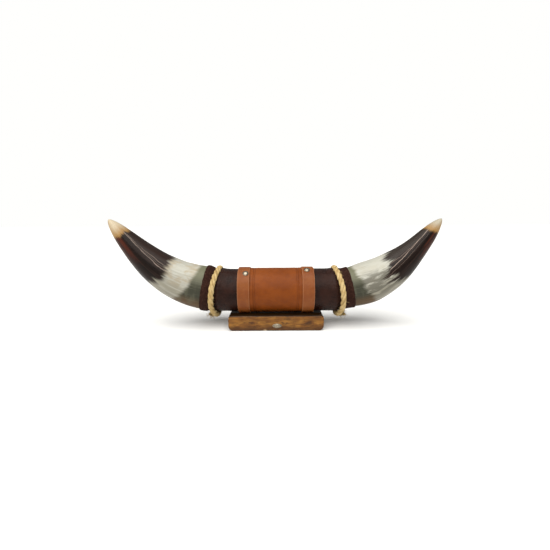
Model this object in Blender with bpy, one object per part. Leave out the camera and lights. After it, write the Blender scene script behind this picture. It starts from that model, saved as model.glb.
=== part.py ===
"""A pair of horns mounted base to base on a leather-covered wooden core, which stands on a wooden foot block.

Run it with: blender --background --python part.py

Metres, +Z up. +X runs along the mount to the viewer's right and -Y faces the front. The origin is the middle of
the block's underside. Distances called "reach" are measured from the middle of the mount outwards along its centre
line, which is straight inside the leather and curves up inside each horn.
"""

import math

import bmesh
import bpy
import numpy as np
from mathutils import Matrix, Vector

# Driving dimensions, in metres
AXIS_HEIGHT = 0.0579  # the core's axis above the table
GAP = 0.0003  # left between pieces that touch
PROUD = 0.002  # how far a cutter stands out of the face that it cuts
SIDES = 28  # facets round every shell on the centre line

# Each horn: where its centre line leaves the straight, its two guide points and its tip in the X-Z plane measured
# from the core's axis, the radius that its taper starts from, how blunt it is, how far it is pinched in, where and
# over what share of its length, and where it meets the core and widens from the waist there.
HORNS = {
    "left": {
        "side": -1,
        "straight_to": 0.0684,
        "guides": ((0.1569, 0.0015), (0.1928, 0.0335)),
        "tip": (0.2514, 0.1120),
        "root_radius": 0.0358,
        "bluntness": 0.699,
        "pinch": (0.0019, 0.769, 0.167),
        "joint": 0.0955,
        "shoulder": 0.014,
        "cuff_end": 0.1140,
    },
    "right": {
        "side": 1,
        "straight_to": 0.0688,
        "guides": ((0.1682, -0.0033), (0.2072, 0.0506)),
        "tip": (0.2499, 0.1106),
        "root_radius": 0.03725,
        "bluntness": 0.732,
        "pinch": (0.0046, 0.762, 0.160),
        "joint": 0.0980,
        "shoulder": 0.0557,
        "cuff_end": 0.1187,
    },
}
TAPER_POWER = 1.85
TIP_FORWARD = 0.012  # how far the tips come towards the front
TIP_FULLNESS = 0.0027  # how much the tips' last stretch is swollen, so that they end blunt
TIP_ROUNDING = 7  # the higher, the blunter the very end
TIP_FADE = 0.12  # share of the horn over which the swelling dies away
HORN_STEPS = 19  # rings on the bare horn, closer together towards the tip by this power
HORN_STEP_POWER = 1.5

CORE_RADIUS = 0.0318
WAIST_RADIUS = 0.0303  # core and horn where they meet, under the rope
CORE_SHOULDER = 0.008  # length over which the core narrows to the waist
SOCKET_RADIUS = 0.0225
SOCKET_DEPTH = 0.040
SOCKET_END_RADIUS = 0.0150
SOCKET_SHARES = (0.0, 0.6, 1.0)  # shares of its depth where the socket's taper is set out
CUFF_SHARES = (0.3, 0.65, 1.0)  # shares of the cuff where the horn and the leather change slope

SLEEVE_THICKNESS = 0.0016
BELT_RADIUS = 0.0352
BELT_THICKNESS = 0.0012
BELT_HALF_WIDTH = 0.0574
BELT_SIDES = 40
STRAP_WIDTH = 0.018
STRAP_MIDDLE = 0.0492
STRAP_THICKNESS = 0.0012
STRAP_LAP = math.radians(28)  # how far the strap's ends overlap
STRAP_CLIMB = math.radians(20)  # the turn over which its outer end rises onto its inner end
STRAP_CLIMB_SPARE = math.radians(4)  # the turn between the end of that rise and the inner end
STRAP_STEPS = 38

STUD_HEAD_RADIUS = 0.0045
STUD_HEAD_HEIGHT = 0.0024
STUD_SHANK_RADIUS = 0.0010
STUD_LENGTH = 0.013
STUD_HOLE_RADIUS = 0.0013
# Height round the belt from the level front, and distance along X from the strap's middle towards the centre
STUDS = {"left": (math.radians(52.5), 0.0033), "right": (math.radians(63.5), 0.0016)}

ROPE_WIDTH = 0.0086
ROPE_THIN = 0.0052  # pressed flat over the top
# The rope's end that comes down the front runs on under the bottom, and the one from the back stops just past it.
ROPE_FRONT_LAP = math.radians(28)
ROPE_BACK_LAP = math.radians(6)
ROPE_FRONT_SHIFT = -0.0062  # each end's shift outboard where the two lie side by side
ROPE_BACK_SHIFT = 0.0032
ROPE_SPREAD = math.radians(50)  # the turn over which the ends part
ROPE_CLEARANCE = 0.0012  # between the rope and the leather under it
ROPE_STEPS = 38
ROPE_SIDES = 8
ROPE_CLIMB = 0.27  # how much it rides up the cuff for each metre that it sits outboard
# How far outboard of the joint each rope sits at the front and at the top
ROPE_DRIFT = {"left": (0.0020, -0.0030), "right": (0.0030, -0.0022)}
ROPE_ENDS_OUT = {"left": 0.0, "right": 0.0017}  # how much further outboard both its ends lie
ROPE_ENDS_LIFT = {"left": 0.0026, "right": 0.0015}  # how far they stand off the leather

BLOCK_LENGTH = 0.1467
BLOCK_DEPTH = 0.064
BLOCK_HEIGHT = 0.0240
BLOCK_LOWER_CORNER = 0.0075
BLOCK_UPPER_CORNER = 0.0050
BLOCK_EDGE = 0.0020
SEAT_SIDES = 48  # facets round the bar that hollows its top
TACK_PLACE = (0.0014, 0.0084)  # X and Z on the block's front
TACK_HALF_LENGTH = 0.0072
TACK_HALF_HEIGHT = 0.0034
TACK_DOME = 0.0016
TACK_SHANK_RADIUS = 0.0009
TACK_SHANK_LENGTH = 0.008
TACK_HOLE_RADIUS = 0.0012

SCREW_X = 0.030
SCREW_HEAD_Z = 0.0050  # the head's flat, above the table
SCREW_HEAD_RADIUS = 0.0042
SCREW_HEAD_HEIGHT = 0.0030
SCREW_RADIUS = 0.0021
SCREW_LENGTH = 0.034
SCREW_CLEARANCE = 0.0004
SCREW_HOLE_TURN = math.radians(5)  # keeps the hole's facets from meeting the core's edge to edge


def clear_scene():
    for thing in list(bpy.data.objects):
        bpy.data.objects.remove(thing, do_unlink=True)


def finish(name, colour, roughness, metallic=0.0):
    """A plain finish for one sub-part."""
    made = bpy.data.materials.new(name)
    made.use_nodes = True
    shader = made.node_tree.nodes["Principled BSDF"]
    shader.inputs["Base Color"].default_value = (*colour, 1.0)
    shader.inputs["Roughness"].default_value = roughness
    shader.inputs["Metallic"].default_value = metallic
    return made


def place_mesh(name, shape, material, crease=math.radians(40)):
    """Turns a bmesh into a named object with outward faces, smooth except at sharp corners."""
    bmesh.ops.recalc_face_normals(shape, faces=shape.faces)
    mesh = bpy.data.meshes.new(name)
    shape.to_mesh(mesh)
    shape.free()
    mesh.shade_smooth()
    mesh.set_sharp_from_angle(angle=crease)
    mesh.materials.append(material)
    made = bpy.data.objects.new(name, mesh)
    bpy.context.collection.objects.link(made)
    return made


def skin(name, rings, material, closed=False):
    """Joins rings of points into one surface. A ring of one point closes that end, and closed joins last to first."""
    shape = bmesh.new()
    loops = [[shape.verts.new(point) for point in ring] for ring in rings]
    pairs = list(zip(loops, loops[1:]))
    if closed:
        pairs.append((loops[-1], loops[0]))
    for near, far in pairs:
        count = max(len(near), len(far))
        for i in range(count):
            after = (i + 1) % count
            corners = [near[i % len(near)], near[after % len(near)], far[after % len(far)], far[i % len(far)]]
            shape.faces.new(list(dict.fromkeys(corners)))
    return place_mesh(name, shape, material)


def cut(piece, *cutters):
    """Cuts each cutter out of a piece."""
    for cutter in cutters:
        made = piece.modifiers.new(f"cut_{cutter.name}", "BOOLEAN")
        made.operation = "DIFFERENCE"
        made.solver = "EXACT"
        made.object = cutter
        cutter.hide_render = True
        cutter.display_type = "WIRE"


def eased(share):
    """0 to 1 with a soft start and end."""
    share = min(max(share, 0.0), 1.0)
    return share * share * (3 - 2 * share)


# The centre line

LINE_SAMPLES = 400


def bezier(points, share):
    a, b, c, d = points
    back = 1 - share
    return a * back**3 + 3 * b * back**2 * share + 3 * c * back * share**2 + d * share**3


def centre_line(horn):
    """Points from the middle of the mount to one tip, and each point's reach."""
    straight = horn["straight_to"]
    corners = [np.array(p) for p in ((straight, 0.0), *horn["guides"], horn["tip"])]
    share = np.linspace(0, 1, LINE_SAMPLES)[:, None]
    flat = bezier(corners, share)
    run = np.concatenate([[0], np.cumsum(np.linalg.norm(np.diff(flat, axis=0), axis=1))])
    forward = -TIP_FORWARD * (run / run[-1]) ** 2
    curve = np.stack([horn["side"] * flat[:, 0], forward, AXIS_HEIGHT + flat[:, 1]], axis=1)
    start = np.array([[0.0, 0.0, AXIS_HEIGHT]])
    return np.concatenate([start, curve]), np.concatenate([[0.0], straight + run])


LINES = {name: centre_line(horn) for name, horn in HORNS.items()}


def tip_reach_of(name):
    return float(LINES[name][1][-1])


def station(name, reach):
    """The place on the centre line at this reach, with the directions along it (towards +X), back and up."""
    points, reaches = LINES[name]
    step = 0.0005
    ends = [Vector(np.interp(reach + d, reaches, points[:, k]) for k in range(3)) for d in (-step, step)]
    place = Vector(np.interp(reach, reaches, points[:, k]) for k in range(3))
    if reach < step:
        along = Vector((1, 0, 0))
    else:
        along = HORNS[name]["side"] * (ends[1] - ends[0]).normalized()
    back = (Vector((0, 1, 0)) - along * along.y).normalized()
    return place, along, back, along.cross(back)


def ring(name, reach, radius, sides=SIDES):
    """A circle of points square to the centre line, or its one point where the radius is nothing."""
    place, _, back, up = station(name, reach)
    if radius <= 0:
        return [place]
    turns = [2 * math.pi * i / sides for i in range(sides)]
    return [place + radius * (math.cos(t) * back + math.sin(t) * up) for t in turns]


# Horns and core

def horn_radius(name, reach):
    horn = HORNS[name]
    straight, tip_reach = horn["straight_to"], tip_reach_of(name)
    share = min(max((reach - straight) / (tip_reach - straight), 0.0), 1.0)
    depth, middle, width = horn["pinch"]
    pinched = depth * math.exp(-(((share - middle) / width) ** 2)) * math.sqrt(1 - share)
    swollen = TIP_FULLNESS * math.sqrt(1 - share**TIP_ROUNDING) * math.exp((share - 1) / TIP_FADE)
    return horn["root_radius"] * (1 - share**TAPER_POWER) ** horn["bluntness"] - pinched + swollen


def horn_skin_radius(name, reach):
    """The horn's outside, with its base worked down to the waist."""
    joint, shoulder = HORNS[name]["joint"], HORNS[name]["shoulder"]
    trim = horn_radius(name, joint) - WAIST_RADIUS
    return horn_radius(name, reach) - trim * (1 - eased((reach - joint) / shoulder))


def core_skin_radius(name, reach):
    narrowing = eased((reach - HORNS[name]["joint"] + CORE_SHOULDER) / CORE_SHOULDER)
    return CORE_RADIUS - (CORE_RADIUS - WAIST_RADIUS) * narrowing


def socket_steps(name, extra):
    """Reach and radius down the horn's hollow, made larger all round by extra."""
    joint = HORNS[name]["joint"]
    for share in SOCKET_SHARES:
        radius = SOCKET_RADIUS + (SOCKET_END_RADIUS - SOCKET_RADIUS) * share**2
        yield joint + SOCKET_DEPTH * share + (extra if share == 1.0 else 0.0), radius + extra


def cuff_reaches(name):
    """Where both the horn and the leather over it change slope, from the joint to the cuff's edge."""
    joint, cuff_end = HORNS[name]["joint"], HORNS[name]["cuff_end"]
    return [joint + (cuff_end - joint) * share for share in CUFF_SHARES]


def make_horn(name, material):
    joint, cuff_end, tip_reach = HORNS[name]["joint"] + GAP / 2, HORNS[name]["cuff_end"], tip_reach_of(name)
    reaches = [joint] + cuff_reaches(name)
    for i in range(1, HORN_STEPS):
        share = 1 - (1 - i / HORN_STEPS) ** HORN_STEP_POWER
        reaches.append(cuff_end + (tip_reach - cuff_end) * share)
    rings = [ring(name, reach, horn_skin_radius(name, reach)) for reach in reaches]
    rings.append(ring(name, tip_reach, 0.0))
    hollow = [ring(name, max(reach, joint), radius) for reach, radius in socket_steps(name, GAP)]
    hollow.append(ring(name, HORNS[name]["joint"] + SOCKET_DEPTH + GAP, 0.0))
    rings = rings[::-1] + hollow
    return skin(f"horn_{name}", rings, material)


def make_core(material):
    """The carved billet, with a tapered plug at each end for the horns' hollows."""
    halves = []
    for name in ("left", "right"):
        shoulder = HORNS[name]["joint"] - GAP / 2
        half = [ring(name, HORNS[name]["joint"] + SOCKET_DEPTH, 0.0)]
        steps = list(socket_steps(name, 0.0))
        half += [ring(name, max(reach, shoulder), radius) for reach, radius in reversed(steps)]
        for share in (1.0, 0.5, 0.0):
            reach = shoulder - CORE_SHOULDER * (1 - share)
            half.append(ring(name, reach, core_skin_radius(name, reach)))
        half.append(ring(name, HORNS[name]["straight_to"], CORE_RADIUS))
        halves.append(half)
    return skin("core", halves[0] + halves[1][::-1], material)


# Leather

def sleeve_rings(name, extra):
    """Rings from the middle out to the cuff's edge, standing off the core and horn by extra."""
    horn = HORNS[name]
    reaches = [horn["straight_to"]]
    reaches += [horn["joint"] - CORE_SHOULDER * share for share in (1.0, 0.5, 0.0)]
    reaches += cuff_reaches(name)
    found = []
    for reach in reaches:
        under = core_skin_radius if reach <= horn["joint"] else horn_skin_radius
        found.append(ring(name, reach, under(name, reach) + extra))
    return found


def make_sleeve(material):
    inner, outer = GAP, GAP + SLEEVE_THICKNESS
    outside = sleeve_rings("left", outer)[::-1] + sleeve_rings("right", outer)
    inside = sleeve_rings("right", inner)[::-1] + sleeve_rings("left", inner)
    return skin("sleeve", outside + inside, material, closed=True)


def make_belt(material):
    rings = []
    for name, reach, radius in (
        ("left", BELT_HALF_WIDTH, BELT_RADIUS),
        ("right", BELT_HALF_WIDTH, BELT_RADIUS),
        ("right", BELT_HALF_WIDTH, BELT_RADIUS - BELT_THICKNESS),
        ("left", BELT_HALF_WIDTH, BELT_RADIUS - BELT_THICKNESS),
    ):
        rings.append(ring(name, reach, radius, sides=BELT_SIDES))
    return skin("belt", rings, material, closed=True)


STRAP_RADIUS = BELT_RADIUS + GAP  # the strap's underside
STRAP_STEP = STRAP_THICKNESS + GAP  # how much its outer end is lifted where it laps the inner one


def belt_direction(angle):
    """From the core's axis outwards, at a height angle round from the level front."""
    return Vector((0, -math.cos(angle), math.sin(angle)))


def make_strap(name, material):
    """A strip wound once round the belt, its outer end lapping over its inner end under the stud."""
    middle = HORNS[name]["side"] * STRAP_MIDDLE
    stud_angle = STUDS[name][0]
    first, turn = stud_angle - STRAP_LAP / 2, 2 * math.pi
    climb_from = turn - STRAP_CLIMB - STRAP_CLIMB_SPARE
    rings = []
    for i in range(STRAP_STEPS + 1):
        swept = (turn + STRAP_LAP) * i / STRAP_STEPS
        low = STRAP_RADIUS + STRAP_STEP * eased((swept - climb_from) / STRAP_CLIMB)
        outward = belt_direction(first + swept)
        rings.append([
            Vector((middle + x, 0, AXIS_HEIGHT)) + outward * radius
            for x, radius in (
                (-STRAP_WIDTH / 2, low),
                (STRAP_WIDTH / 2, low),
                (STRAP_WIDTH / 2, low + STRAP_THICKNESS),
                (-STRAP_WIDTH / 2, low + STRAP_THICKNESS),
            )
        ])
    middles = [sum(end, Vector()) / len(end) for end in (rings[0], rings[-1])]
    return skin(f"strap_{name}", [[middles[0]], *rings, [middles[1]]], material)


# Studs, tack and screws

def turned(name, profile, material, sides=16):
    """A lathe shape about its own Z: radius and height pairs from one end of the axis to the other."""
    rings = []
    for radius, height in profile:
        turns = [2 * math.pi * i / sides for i in range(sides)] if radius > 0 else [0.0]
        rings.append([Vector((radius * math.cos(t), radius * math.sin(t), height)) for t in turns])
    return skin(name, rings, material)


def set_axis(piece, place, direction):
    """Stands a turned piece at a place with its Z axis along a direction."""
    piece.location = place
    piece.rotation_euler = Vector(direction).to_track_quat("Z", "Y").to_euler()


def stud_place(name):
    """Where the stud's head sits on the strap's lap, and the way out."""
    angle, inboard = STUDS[name]
    side = HORNS[name]["side"]
    outward = belt_direction(angle)
    seat = STRAP_RADIUS + STRAP_STEP + STRAP_THICKNESS + GAP
    middle = Vector((side * (STRAP_MIDDLE - inboard), 0, AXIS_HEIGHT))
    return middle + outward * seat, outward


def make_stud(name, material):
    dome = [(STUD_HEAD_RADIUS * math.cos(a), STUD_HEAD_HEIGHT * math.sin(a)) for a in np.linspace(0, math.pi / 2, 5)]
    dome[-1] = (0.0, STUD_HEAD_HEIGHT)
    shank = [
        (0.0, -STUD_LENGTH),
        (STUD_SHANK_RADIUS, -STUD_LENGTH + 2 * STUD_SHANK_RADIUS),
        (STUD_SHANK_RADIUS, 0.0),
    ]
    made = turned(f"stud_{name}", shank + dome, material)
    set_axis(made, *stud_place(name))
    return made


def make_stud_cutter(name, material):
    reach = STUD_LENGTH + 2 * GAP
    hole = [(0.0, -reach), (STUD_HOLE_RADIUS, -reach), (STUD_HOLE_RADIUS, PROUD), (0.0, PROUD)]
    made = turned(f"stud_hole_{name}", hole, material, sides=10)
    set_axis(made, *stud_place(name))
    return made


def make_tack(material):
    """An oval domed head on a round shank."""
    front = Vector((TACK_PLACE[0], -BLOCK_DEPTH / 2 - GAP, TACK_PLACE[1]))
    sides, rings = 20, []
    turns = [2 * math.pi * i / sides for i in range(sides)]
    for radius, height in ((TACK_SHANK_RADIUS, -TACK_SHANK_LENGTH), (TACK_SHANK_RADIUS, 0.0)):
        rings.append([Vector((radius * math.cos(t), radius * math.sin(t), height)) for t in turns])
    for lean in np.linspace(0, math.pi / 2, 4)[:-1]:
        share = math.cos(lean)
        rings.append([
            Vector((
                TACK_HALF_LENGTH * share * math.cos(t),
                TACK_HALF_HEIGHT * share * math.sin(t),
                TACK_DOME * math.sin(lean),
            ))
            for t in turns
        ])
    rings = [[Vector((0, 0, -TACK_SHANK_LENGTH))], *rings, [Vector((0, 0, TACK_DOME))]]
    made = skin("tack", rings, material)
    made.location = front
    made.rotation_euler = Matrix(((1, 0, 0), (0, 0, -1), (0, 1, 0))).to_euler()
    return made


def make_tack_cutter(material):
    depth = TACK_SHANK_LENGTH + 2 * GAP
    hole = [(0.0, -depth), (TACK_HOLE_RADIUS, -depth), (TACK_HOLE_RADIUS, PROUD), (0.0, PROUD)]
    made = turned("tack_hole", hole, material, sides=10)
    set_axis(made, Vector((TACK_PLACE[0], -BLOCK_DEPTH / 2, TACK_PLACE[1])), (0, -1, 0))
    return made


def make_screw(name, side, material):
    """A countersunk wood screw, point up, with its head let into the block's underside."""
    slope = SCREW_HEAD_RADIUS - SCREW_RADIUS
    profile = [
        (0.0, 0.0),
        (SCREW_HEAD_RADIUS, 0.0),
        (SCREW_HEAD_RADIUS, SCREW_HEAD_HEIGHT - slope),
        (SCREW_RADIUS, SCREW_HEAD_HEIGHT),
        (SCREW_RADIUS, SCREW_LENGTH - 3 * SCREW_RADIUS),
        (0.0, SCREW_LENGTH),
    ]
    made = turned(f"screw_{name}", profile, material, sides=16)
    made.location = (side * SCREW_X, 0, SCREW_HEAD_Z)
    return made


def make_screw_cutter(name, side, material):
    """The counterbore, the seat for the head and the clearance hole, all in one."""
    wide, narrow = SCREW_HEAD_RADIUS + SCREW_CLEARANCE, SCREW_RADIUS + SCREW_CLEARANCE
    slope = SCREW_HEAD_RADIUS - SCREW_RADIUS
    profile = [
        (0.0, -SCREW_HEAD_Z - PROUD),
        (wide, -SCREW_HEAD_Z - PROUD),
        (wide, SCREW_HEAD_HEIGHT - slope),
        (narrow, SCREW_HEAD_HEIGHT + GAP),
        (narrow, SCREW_LENGTH + SCREW_CLEARANCE),
        (0.0, SCREW_LENGTH + SCREW_CLEARANCE),
    ]
    made = turned(f"screw_hole_{name}", profile, material, sides=16)
    made.location = (side * SCREW_X, 0, SCREW_HEAD_Z)
    made.rotation_euler = (0, 0, SCREW_HOLE_TURN)
    return made


# Rope

def rope_thickness(turn):
    """Full at the bottom, where turn is 0, and pressed flat over the top."""
    return ROPE_THIN + (ROPE_WIDTH - ROPE_THIN) * (1 + math.cos(turn)) / 2


def rope_place(name, turn):
    """The rope's centre, its way across and its way out, at a turn from the bottom through the front."""
    horn = HORNS[name]
    place, along, back, up = station(name, horn["joint"])
    outboard = along * horn["side"]
    front, top = ROPE_DRIFT[name]
    drift = max(math.sin(turn), 0.0) ** 2 * front + max(-math.cos(turn), 0.0) ** 2 * top
    near_end = 1 - eased((turn - ROPE_BACK_LAP) / ROPE_SPREAD)
    far_end = 1 - eased((2 * math.pi - ROPE_FRONT_LAP - turn) / ROPE_SPREAD)
    drift += (ROPE_FRONT_SHIFT + ROPE_ENDS_OUT[name]) * near_end
    drift += (ROPE_BACK_SHIFT + ROPE_ENDS_OUT[name]) * far_end
    outward = -math.cos(turn) * up - math.sin(turn) * back
    waist = WAIST_RADIUS + GAP + SLEEVE_THICKNESS + ROPE_CLEARANCE
    radius = waist + rope_thickness(turn) / 2 + ROPE_ENDS_LIFT[name] * max(near_end, far_end)
    radius += ROPE_CLIMB * max(drift, 0.0)
    return place + outboard * drift + outward * radius, outboard, outward


def make_rope(name, material):
    """One turn of rope, its two ends lying side by side under the mount."""
    rings = []
    for i in range(ROPE_STEPS + 1):
        turn = -ROPE_FRONT_LAP + (2 * math.pi + ROPE_FRONT_LAP + ROPE_BACK_LAP) * i / ROPE_STEPS
        place, across, outward = rope_place(name, turn)
        rings.append([
            place
            + across * (ROPE_WIDTH / 2 * math.cos(t))
            + outward * (rope_thickness(turn) / 2 * math.sin(t))
            for t in (2 * math.pi * (k + 0.5) / ROPE_SIDES for k in range(ROPE_SIDES))
        ])
    middles = [sum(end, Vector()) / len(end) for end in (rings[0], rings[-1])]
    return skin(f"rope_{name}", [[middles[0]], *rings, [middles[1]]], material)


# Foot block

def block_outline():
    """The block's front outline: gently rounded above, rounder below."""
    half, corner_steps = BLOCK_LENGTH / 2, 5
    corners = (
        (-half + BLOCK_LOWER_CORNER, BLOCK_LOWER_CORNER, BLOCK_LOWER_CORNER, 180),
        (half - BLOCK_LOWER_CORNER, BLOCK_LOWER_CORNER, BLOCK_LOWER_CORNER, 270),
        (half - BLOCK_UPPER_CORNER, BLOCK_HEIGHT - BLOCK_UPPER_CORNER, BLOCK_UPPER_CORNER, 0),
        (-half + BLOCK_UPPER_CORNER, BLOCK_HEIGHT - BLOCK_UPPER_CORNER, BLOCK_UPPER_CORNER, 90),
    )
    for x, z, radius, start in corners:
        for i in range(corner_steps + 1):
            angle = math.radians(start + 90 * i / corner_steps)
            yield x + radius * math.cos(angle), z + radius * math.sin(angle)


def make_block(material):
    shape = bmesh.new()
    front = shape.faces.new([shape.verts.new((x, -BLOCK_DEPTH / 2, z)) for x, z in block_outline()])
    pushed = bmesh.ops.extrude_face_region(shape, geom=[front])
    corners = [g for g in pushed["geom"] if isinstance(g, bmesh.types.BMVert)]
    bmesh.ops.translate(shape, verts=corners, vec=(0, BLOCK_DEPTH, 0))
    made = place_mesh("block", shape, material)
    edge = made.modifiers.new("rounded_edge", "BEVEL")
    edge.width = BLOCK_EDGE
    edge.segments = 2
    edge.limit_method = "ANGLE"
    edge.angle_limit = math.radians(60)
    return made


def make_seat_cutter(material):
    """A bar as thick as the strapped middle, which hollows the block's top."""
    half, radius = BLOCK_LENGTH / 2 + PROUD, STRAP_RADIUS + STRAP_THICKNESS + GAP
    shape = bmesh.new()
    bmesh.ops.create_cone(
        shape, cap_ends=True, segments=SEAT_SIDES, radius1=radius, radius2=radius, depth=2 * half,
        matrix=Matrix.Translation((0, 0, AXIS_HEIGHT)) @ Matrix.Rotation(math.pi / 2, 4, "Y"),
    )
    return place_mesh("seat_hollow", shape, material)


def build():
    clear_scene()
    horn = finish("horn", (0.42, 0.38, 0.32), 0.25)
    wood = finish("softwood", (0.55, 0.40, 0.24), 0.7)
    dark_leather = finish("dark_leather", (0.055, 0.032, 0.028), 0.55)
    tan_leather = finish("tan_leather", (0.33, 0.13, 0.06), 0.5)
    nickel = finish("nickel", (0.62, 0.58, 0.50), 0.25, 1.0)
    steel = finish("steel", (0.45, 0.45, 0.46), 0.4, 1.0)
    straw = finish("straw_rope", (0.62, 0.45, 0.22), 0.85)
    varnished = finish("varnished_wood", (0.20, 0.10, 0.035), 0.35)
    guide = finish("guide", (0.5, 0.5, 0.5), 0.5)

    core = make_core(wood)
    sleeve = make_sleeve(dark_leather)
    belt = make_belt(tan_leather)
    block = make_block(varnished)
    pieces = [core, sleeve, belt, block, make_tack(nickel)]
    cutters = [make_seat_cutter(guide), make_tack_cutter(guide)]
    cut(block, *cutters)
    for name, details in HORNS.items():
        strap = make_strap(name, tan_leather)
        stud_hole = make_stud_cutter(name, guide)
        screw_hole = make_screw_cutter(name, details["side"], guide)
        for piece in (core, sleeve, belt):
            cut(piece, stud_hole, screw_hole)
        cut(strap, stud_hole)
        cut(block, screw_hole)
        cutters += [stud_hole, screw_hole]
        pieces += [
            make_horn(name, horn),
            strap,
            make_stud(name, nickel),
            make_rope(name, straw),
            make_screw(name, details["side"], steel),
        ]
    mount = bpy.data.objects.new("mount", None)
    bpy.context.collection.objects.link(mount)
    for piece in pieces + cutters:
        piece.parent = mount


build()
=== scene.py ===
"""A pair of polished horns joined by a leather-covered core on a wooden foot block.

Metres, +Z up. +X runs along the mount to the viewer's right and -Y faces the front. Distances called
"reach" are measured from the middle of the mount outwards along its centre line, and turns go round it.
"""

import math

import bmesh
import bpy
import numpy as np
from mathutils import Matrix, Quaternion, Vector, noise


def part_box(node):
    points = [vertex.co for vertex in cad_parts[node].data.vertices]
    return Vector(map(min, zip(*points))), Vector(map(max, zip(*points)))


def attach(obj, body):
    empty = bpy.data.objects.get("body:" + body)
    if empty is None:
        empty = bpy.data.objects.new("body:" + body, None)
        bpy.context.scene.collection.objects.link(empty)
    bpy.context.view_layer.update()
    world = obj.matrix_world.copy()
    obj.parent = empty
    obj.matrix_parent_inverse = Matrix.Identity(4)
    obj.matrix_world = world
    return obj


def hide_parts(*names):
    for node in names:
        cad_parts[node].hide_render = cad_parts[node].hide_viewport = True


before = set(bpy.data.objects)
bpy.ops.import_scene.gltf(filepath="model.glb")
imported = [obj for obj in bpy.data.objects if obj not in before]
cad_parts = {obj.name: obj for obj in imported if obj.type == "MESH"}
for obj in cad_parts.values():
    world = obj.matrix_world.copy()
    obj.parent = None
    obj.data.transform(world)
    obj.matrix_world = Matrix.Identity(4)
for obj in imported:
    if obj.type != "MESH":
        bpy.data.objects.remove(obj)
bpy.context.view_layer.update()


# --------------------------------------------------------------------------------------------------
# The table, the lamps and the view
# A plain pale table in a white room, with one very wide soft light from above, the front and a little to
# the left. The mount is seen from straight ahead and a little above.

belt_low, belt_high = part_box("belt")
AXIS_HEIGHT = (belt_low.z + belt_high.z) / 2  # of the core, above the table

VIEW_HEIGHT_ANGLE = math.radians(10)
VIEW_DISTANCE = 0.52
VIEW_AIM = (-0.0013, 0.0042, 0.0808)
VIEW_ROLL = math.radians(-0.33)
LENS = 21.27
SENSOR = 36.0

ROOM_LIGHT = 0.34
LAMP_LIGHT = 5.1
LAMP_COLOUR = (1.0, 0.975, 0.935)
LAMP_SPREAD = math.radians(78)  # how wide the lamp looks from the table
LAMP_FROM = (-0.20, -0.55, 1.0)
TABLE_SIZE = 12.0


def place_in_scene(name, data):
    made = bpy.data.objects.new(name, data)
    bpy.context.scene.collection.objects.link(made)
    return made


def paint(code):
    """A shader colour from the hexadecimal code that a screen would show it with."""
    shares = [int(code[i:i + 2], 16) / 255 for i in (0, 2, 4)]
    return (*(s / 12.92 if s <= 0.04045 else ((s + 0.055) / 1.055) ** 2.4 for s in shares), 1.0)


def add(tree, kind, inputs=None, **settings):
    """Adds a node. Inputs are named or numbered, and each is a value or another node's output."""
    node = tree.nodes.new(kind)
    for setting, value in settings.items():
        setattr(node, setting, value)
    for socket, value in (inputs or {}).items():
        if isinstance(value, bpy.types.NodeSocket):
            tree.links.new(value, node.inputs[socket])
        else:
            node.inputs[socket].default_value = value
    return node


def start_finish(name, **shader_values):
    """A new material, its tree and its shader, with the values that are the same all over the surface."""
    made = bpy.data.materials.new(name)
    made.use_nodes = True
    shader = made.node_tree.nodes["Principled BSDF"]
    for socket, value in shader_values.items():
        shader.inputs[socket.replace("_", " ").title().replace("Ior", "IOR")].default_value = value
    return made, made.node_tree, shader


def speckle(tree, place, scale, detail=3.0, roughness=0.5, stretch=None, shift=(0.0, 0.0, 0.0),
            distortion=0.0):
    """Cloudy noise from 0 to 1, drawn out along the axes where stretch is small."""
    if stretch:
        drawn_out = {"Vector": place, "Location": shift, "Scale": stretch}
        place = add(tree, "ShaderNodeMapping", drawn_out).outputs[0]
    values = {
        "Vector": place, "Scale": scale, "Detail": detail, "Roughness": roughness, "Distortion": distortion,
    }
    return add(tree, "ShaderNodeTexNoise", values).outputs["Fac"]


def calc(tree, operation, *values):
    return add(tree, "ShaderNodeMath", dict(enumerate(values)), operation=operation).outputs[0]


def times(tree, first, *others):
    for other in others:
        first = calc(tree, "MULTIPLY", first, other)
    return first


def plus(tree, first, *others):
    for other in others:
        first = calc(tree, "ADD", first, other)
    return first


def rise(tree, value, start, end, low=0.0, high=1.0):
    """Goes smoothly from low to high as the value goes from start to end."""
    values = {"Value": value, "From Min": start, "From Max": end, "To Min": low, "To Max": high}
    return add(tree, "ShaderNodeMapRange", values, interpolation_type="SMOOTHSTEP").outputs[0]


def mix(tree, share, under, over):
    """One colour over another by a share from 0 to 1."""
    return add(tree, "ShaderNodeMix", {0: share, 6: under, 7: over}, data_type="RGBA").outputs[2]


def layered(tree, colour, *layers):
    """Lays paints over a colour in turn. Each layer says what it follows, the values of that between which
    it comes in, how strong it gets, and its code."""
    for follows, start, end, strength, code in layers:
        colour = mix(tree, rise(tree, follows, start, end, 0.0, strength), colour, paint(code))
    return colour


def laid_value(tree, label):
    """A value from 0 to 1 that the mesh carries."""
    return add(tree, "ShaderNodeAttribute", attribute_name=label).outputs["Fac"]


def dent(tree, shader, height, depth):
    """Bump on the shader, this deep in metres where the height goes from 0 to 1."""
    bump = {"Height": height, "Distance": depth, "Strength": 1.0}
    tree.links.new(add(tree, "ShaderNodeBump", bump).outputs[0], shader.inputs["Normal"])


def set_up_view():
    toward = Vector((0, math.cos(VIEW_HEIGHT_ANGLE), -math.sin(VIEW_HEIGHT_ANGLE)))
    camera = bpy.data.cameras.new("view")
    camera.sensor_width = SENSOR
    camera.lens = LENS
    camera.clip_start = 0.01
    seen_from = place_in_scene("view", camera)
    seen_from.location = Vector(VIEW_AIM) - VIEW_DISTANCE * toward
    roll = Quaternion((0, 0, 1), VIEW_ROLL)
    seen_from.rotation_euler = (toward.to_track_quat("-Z", "Y") @ roll).to_euler()
    bpy.context.scene.camera = seen_from


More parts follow.
